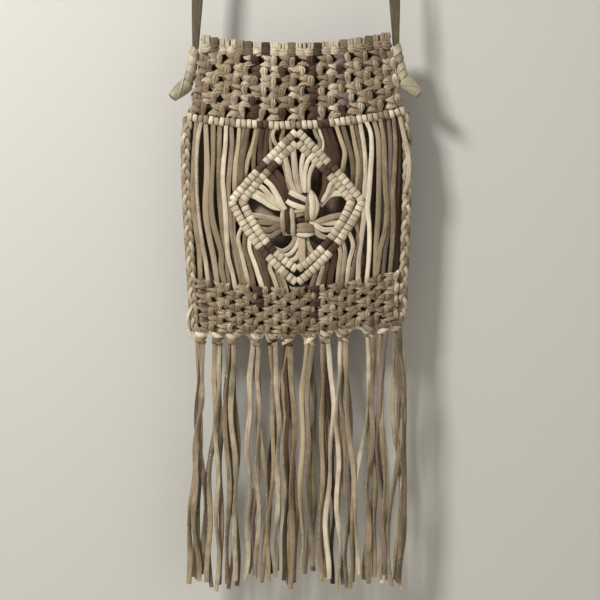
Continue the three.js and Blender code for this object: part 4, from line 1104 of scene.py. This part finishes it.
# %% Lower band
LACES_UP = strands("""
n 4.6 3 -62,168 -61.5,190 -55.5,214 -51,238
c 4.2 4.2 -53.5,180 -57.2,190 -54,207 -47.4,234
n 4.6 2.8 -50.5,186 -51,200 -46,218 -42,238
c 5 4 -45,188 -46,199 -40,219 -33,241
o 4.4 2.8 -41,192 -40,206 -35.5,222 -29.5,241
b 4.8 3.6 -37,197 -35.4,208 -31,221 -27,241
b 4.4 2.8 -30,202 -30.6,214 -26.5,226 -23.5,243
c 4.4 4 -23,210 -26,220 -22,231 -17,246
n 4.2 3 -17,216 -19,224 -15.5,234 -12,247
c 4 3.8 -12,222 -14,229 -11,237 -8,248
t 4.6 3 58,174 63.2,192 59.5,209 54.5,232
c 4.4 4.2 51,182 56.6,199 53,214 50.6,234
c 4.6 3.2 44.5,190 48.4,204 47.6,217 45.6,236
n 4.4 4 40.5,194 44,206 42.6,220 41,238
b 6 3.4 34.4,198 38.2,211 35.4,224 33,240
b 4.8 2.8 28.4,205 31,216 28.4,228 26,242
c 4.6 4.2 24.4,211 26.4,221 23.4,232 20,245
n 5 3.2 17.4,217 19.6,226 17,235 14,246
""")
KNOT_WIDTH, KNOT_HEIGHT = 11.4, 12
# Each tassel, in mm: its knot's x, where its ends reach on the left and on the right, and their length
TASSELS = [(-95.5, -109, -91.5, 246), (-78.5, -90, -73.5, 252), (-64.5, -72.5, -57, 250), (-40, -54, -32, 243),
           (-23.5, -31, -16.5, 240), (-8.5, -15.5, 1, 249), (13.5, 3, 20.5, 236), (29, 21.5, 38, 247),
           (47, 40, 59, 256), (73.5, 61, 79.5, 252), (87, 80.5, 92.5, 254), (100.5, 93.5, 108, 262)]
# An arch of lace, from tassel to tassel: share of the way, drop and depth in mm
ARCH = (0, 6.0, 3.4), (0.12, 2.6, 4.4), (0.5, -0.6, 5.0), (0.88, 2.6, 4.4), (1, 6.0, 3.4)
lower = LaceWork("lower_knot_band")
knot_band(lower, lower_layout, LOWER_ROWS, 0, 4.3,
    "tt nt cn tc nt tn bn nn cn nc tn nt bn cn nc tn nt cn tc nt cn nc", 0.5)
routed(lower, LACES_UP, tuck=6)
for (x0, *_), (x1, *_), finish in zip(TASSELS, TASSELS[1:], ["cream", "taupe", "tan", "cream"] * 3):
    x0, x1, base = x0 + 4.6, x1 - 4.6, foot_drop((x0 + x1) / 2)
    keys = [at(mix(x0, x1, t), base + drop + jitter(0.4), depth) for t, drop, depth in ARCH]
    lower.lace(keys, finish, width=3.8, thickness=1.4, own=0.7)
lower.build("cream")

# %% [markdown]
# ## The tassels
#
# Under the band the laces are drawn together in twelve bunches of four or five, tied in an overhand knot
# and left to hang. Each tassel is a piece with its knot and its lace ends. The ends keep the set of the
# coil that they were bought in: slow waves, a crossing or two, and cut tips that don't line up.

# %% Tassels
TASSEL_TONES = "tcnto nclt ncto cctnl ncbt bnctn ntco ncnbo cntlt cntt nlct tonct".split()
TASSEL_DEPTH = KNOT_WIDTH / 2 - 2.3


def overhand_knot(work, x, top, tones):
    """A bundle, a wide lace that crosses it one way in front, and one that crosses back below."""
    first, second, third = tones[1], tones[0], tones[2]
    tip = jitter(0.5)
    bundle = [at(x, top - 4, 3), at(x, top + 5, 3.4), at(x, top + KNOT_HEIGHT + 3, 3.4)]
    work.lace(bundle, second, width=[6.4, 8, 6], thickness=[4, 6, 4], square=0.8)
    angle = np.linspace(-np.pi, np.pi, 23)
    for lean, drop, finish, width in ((1, 3.6, first, 5.0), (-1, 7.0, third, 4.8), (1, 9.6, second, 3.4)):
        slope = lean * (2.6 + tip)
        keys = [at(x + np.sin(a) * 4.7, top + drop + slope * np.sin(a), TASSEL_DEPTH + 0.2 + np.cos(a) * 4.3)
            for a in angle]
        facing = np.stack([np.sin(angle), -np.cos(angle), 0 * angle - 0.15 * lean], -1)
        work.lace(keys, finish, width=width, thickness=1.4, facing=facing, crown=0.6, count=23)
    for side, reach, finish in ((-1, 9.5, second), (1, 9.0, first), (-1, 5.0, first), (1, 4.4, third)):
        rise = 4.4 if reach > 6 else 6
        keys = [at(x + side * reach, top - rise, 1.6), at(x + side * reach * 0.72, top - 1.4, 3.2),
            at(x + side * 3, top + 1.8, 4.8), at(x - side * 0.5, top + 5, 4.6)]
        work.lace(keys, finish, width=[3.0, 3.8, 4.2, 3.6], thickness=1.4, crown=0.4, count=14)


def tassel(index, x, low, high, length):
    work = LaceWork(f"tassel_{index + 1}")
    top = float(foot_drop(x)) + CLEARANCE
    tones = [CODES[code] for code in TASSEL_TONES[index]]
    overhand_knot(work, x, top, tones)
    share = np.linspace(0, 1, 19)
    fan = np.clip((share - 0.03) / 0.72, 0, 1)
    fan = fan * fan * (3 - 2 * fan)
    for k, tone in enumerate(tones):
        foot = mix(low + 2.4, high - 2.4, (0.0, 0.75, 0.3, 1.0, 0.52)[k])
        reach = length - 9 * ((index * 3 + k * 5) % 4) / 3 - 4 * (k == 4)
        phase = random.random() * 6.3
        bow = jitter(3.4) * np.sin(np.pi * share) ** 1.3 + jitter(2.4) * np.sin(2 * np.pi * share)
        ripple = random.uniform(0.6, 1.7) * np.sin(share * random.uniform(12, 20) + phase)
        ripple = ripple * np.minimum(share * 5, 1)
        start = x + (-2.6, 2.6, -0.9, 1.9, 0.6)[k]
        drop = top + KNOT_HEIGHT / 2 + 2 + (reach - 2) * share
        depth = TASSEL_DEPTH + (2.2, 2.8, -1.7, -0.9, 0.6)[k]
        depth = depth + 0.9 * np.sin(share * random.uniform(4, 8) + phase)
        across = np.clip(mix(start, foot, fan) + bow + ripple, -BAR_HALF, BAR_HALF)
        keys = np.stack([across, -np.maximum(depth, -1.2), -drop], -1)
        turn = 0.3 + 0.75 * np.sin(share * random.uniform(7, 15) + phase) * np.minimum(share * 6, 1)
        width = random.uniform(4.6, 5.8) * np.interp(share, [0, 0.05, 0.97, 1], [0.8, 1, 1, 0.85])
        work.lace(keys, tone, width=width, thickness=1.7, turn=turn, crown=0.25, count=84, square=0.4)
    return work.build()


fringe = [tassel(index, *values) for index, values in enumerate(TASSELS)]
print("triangles in all:", LaceWork.total)
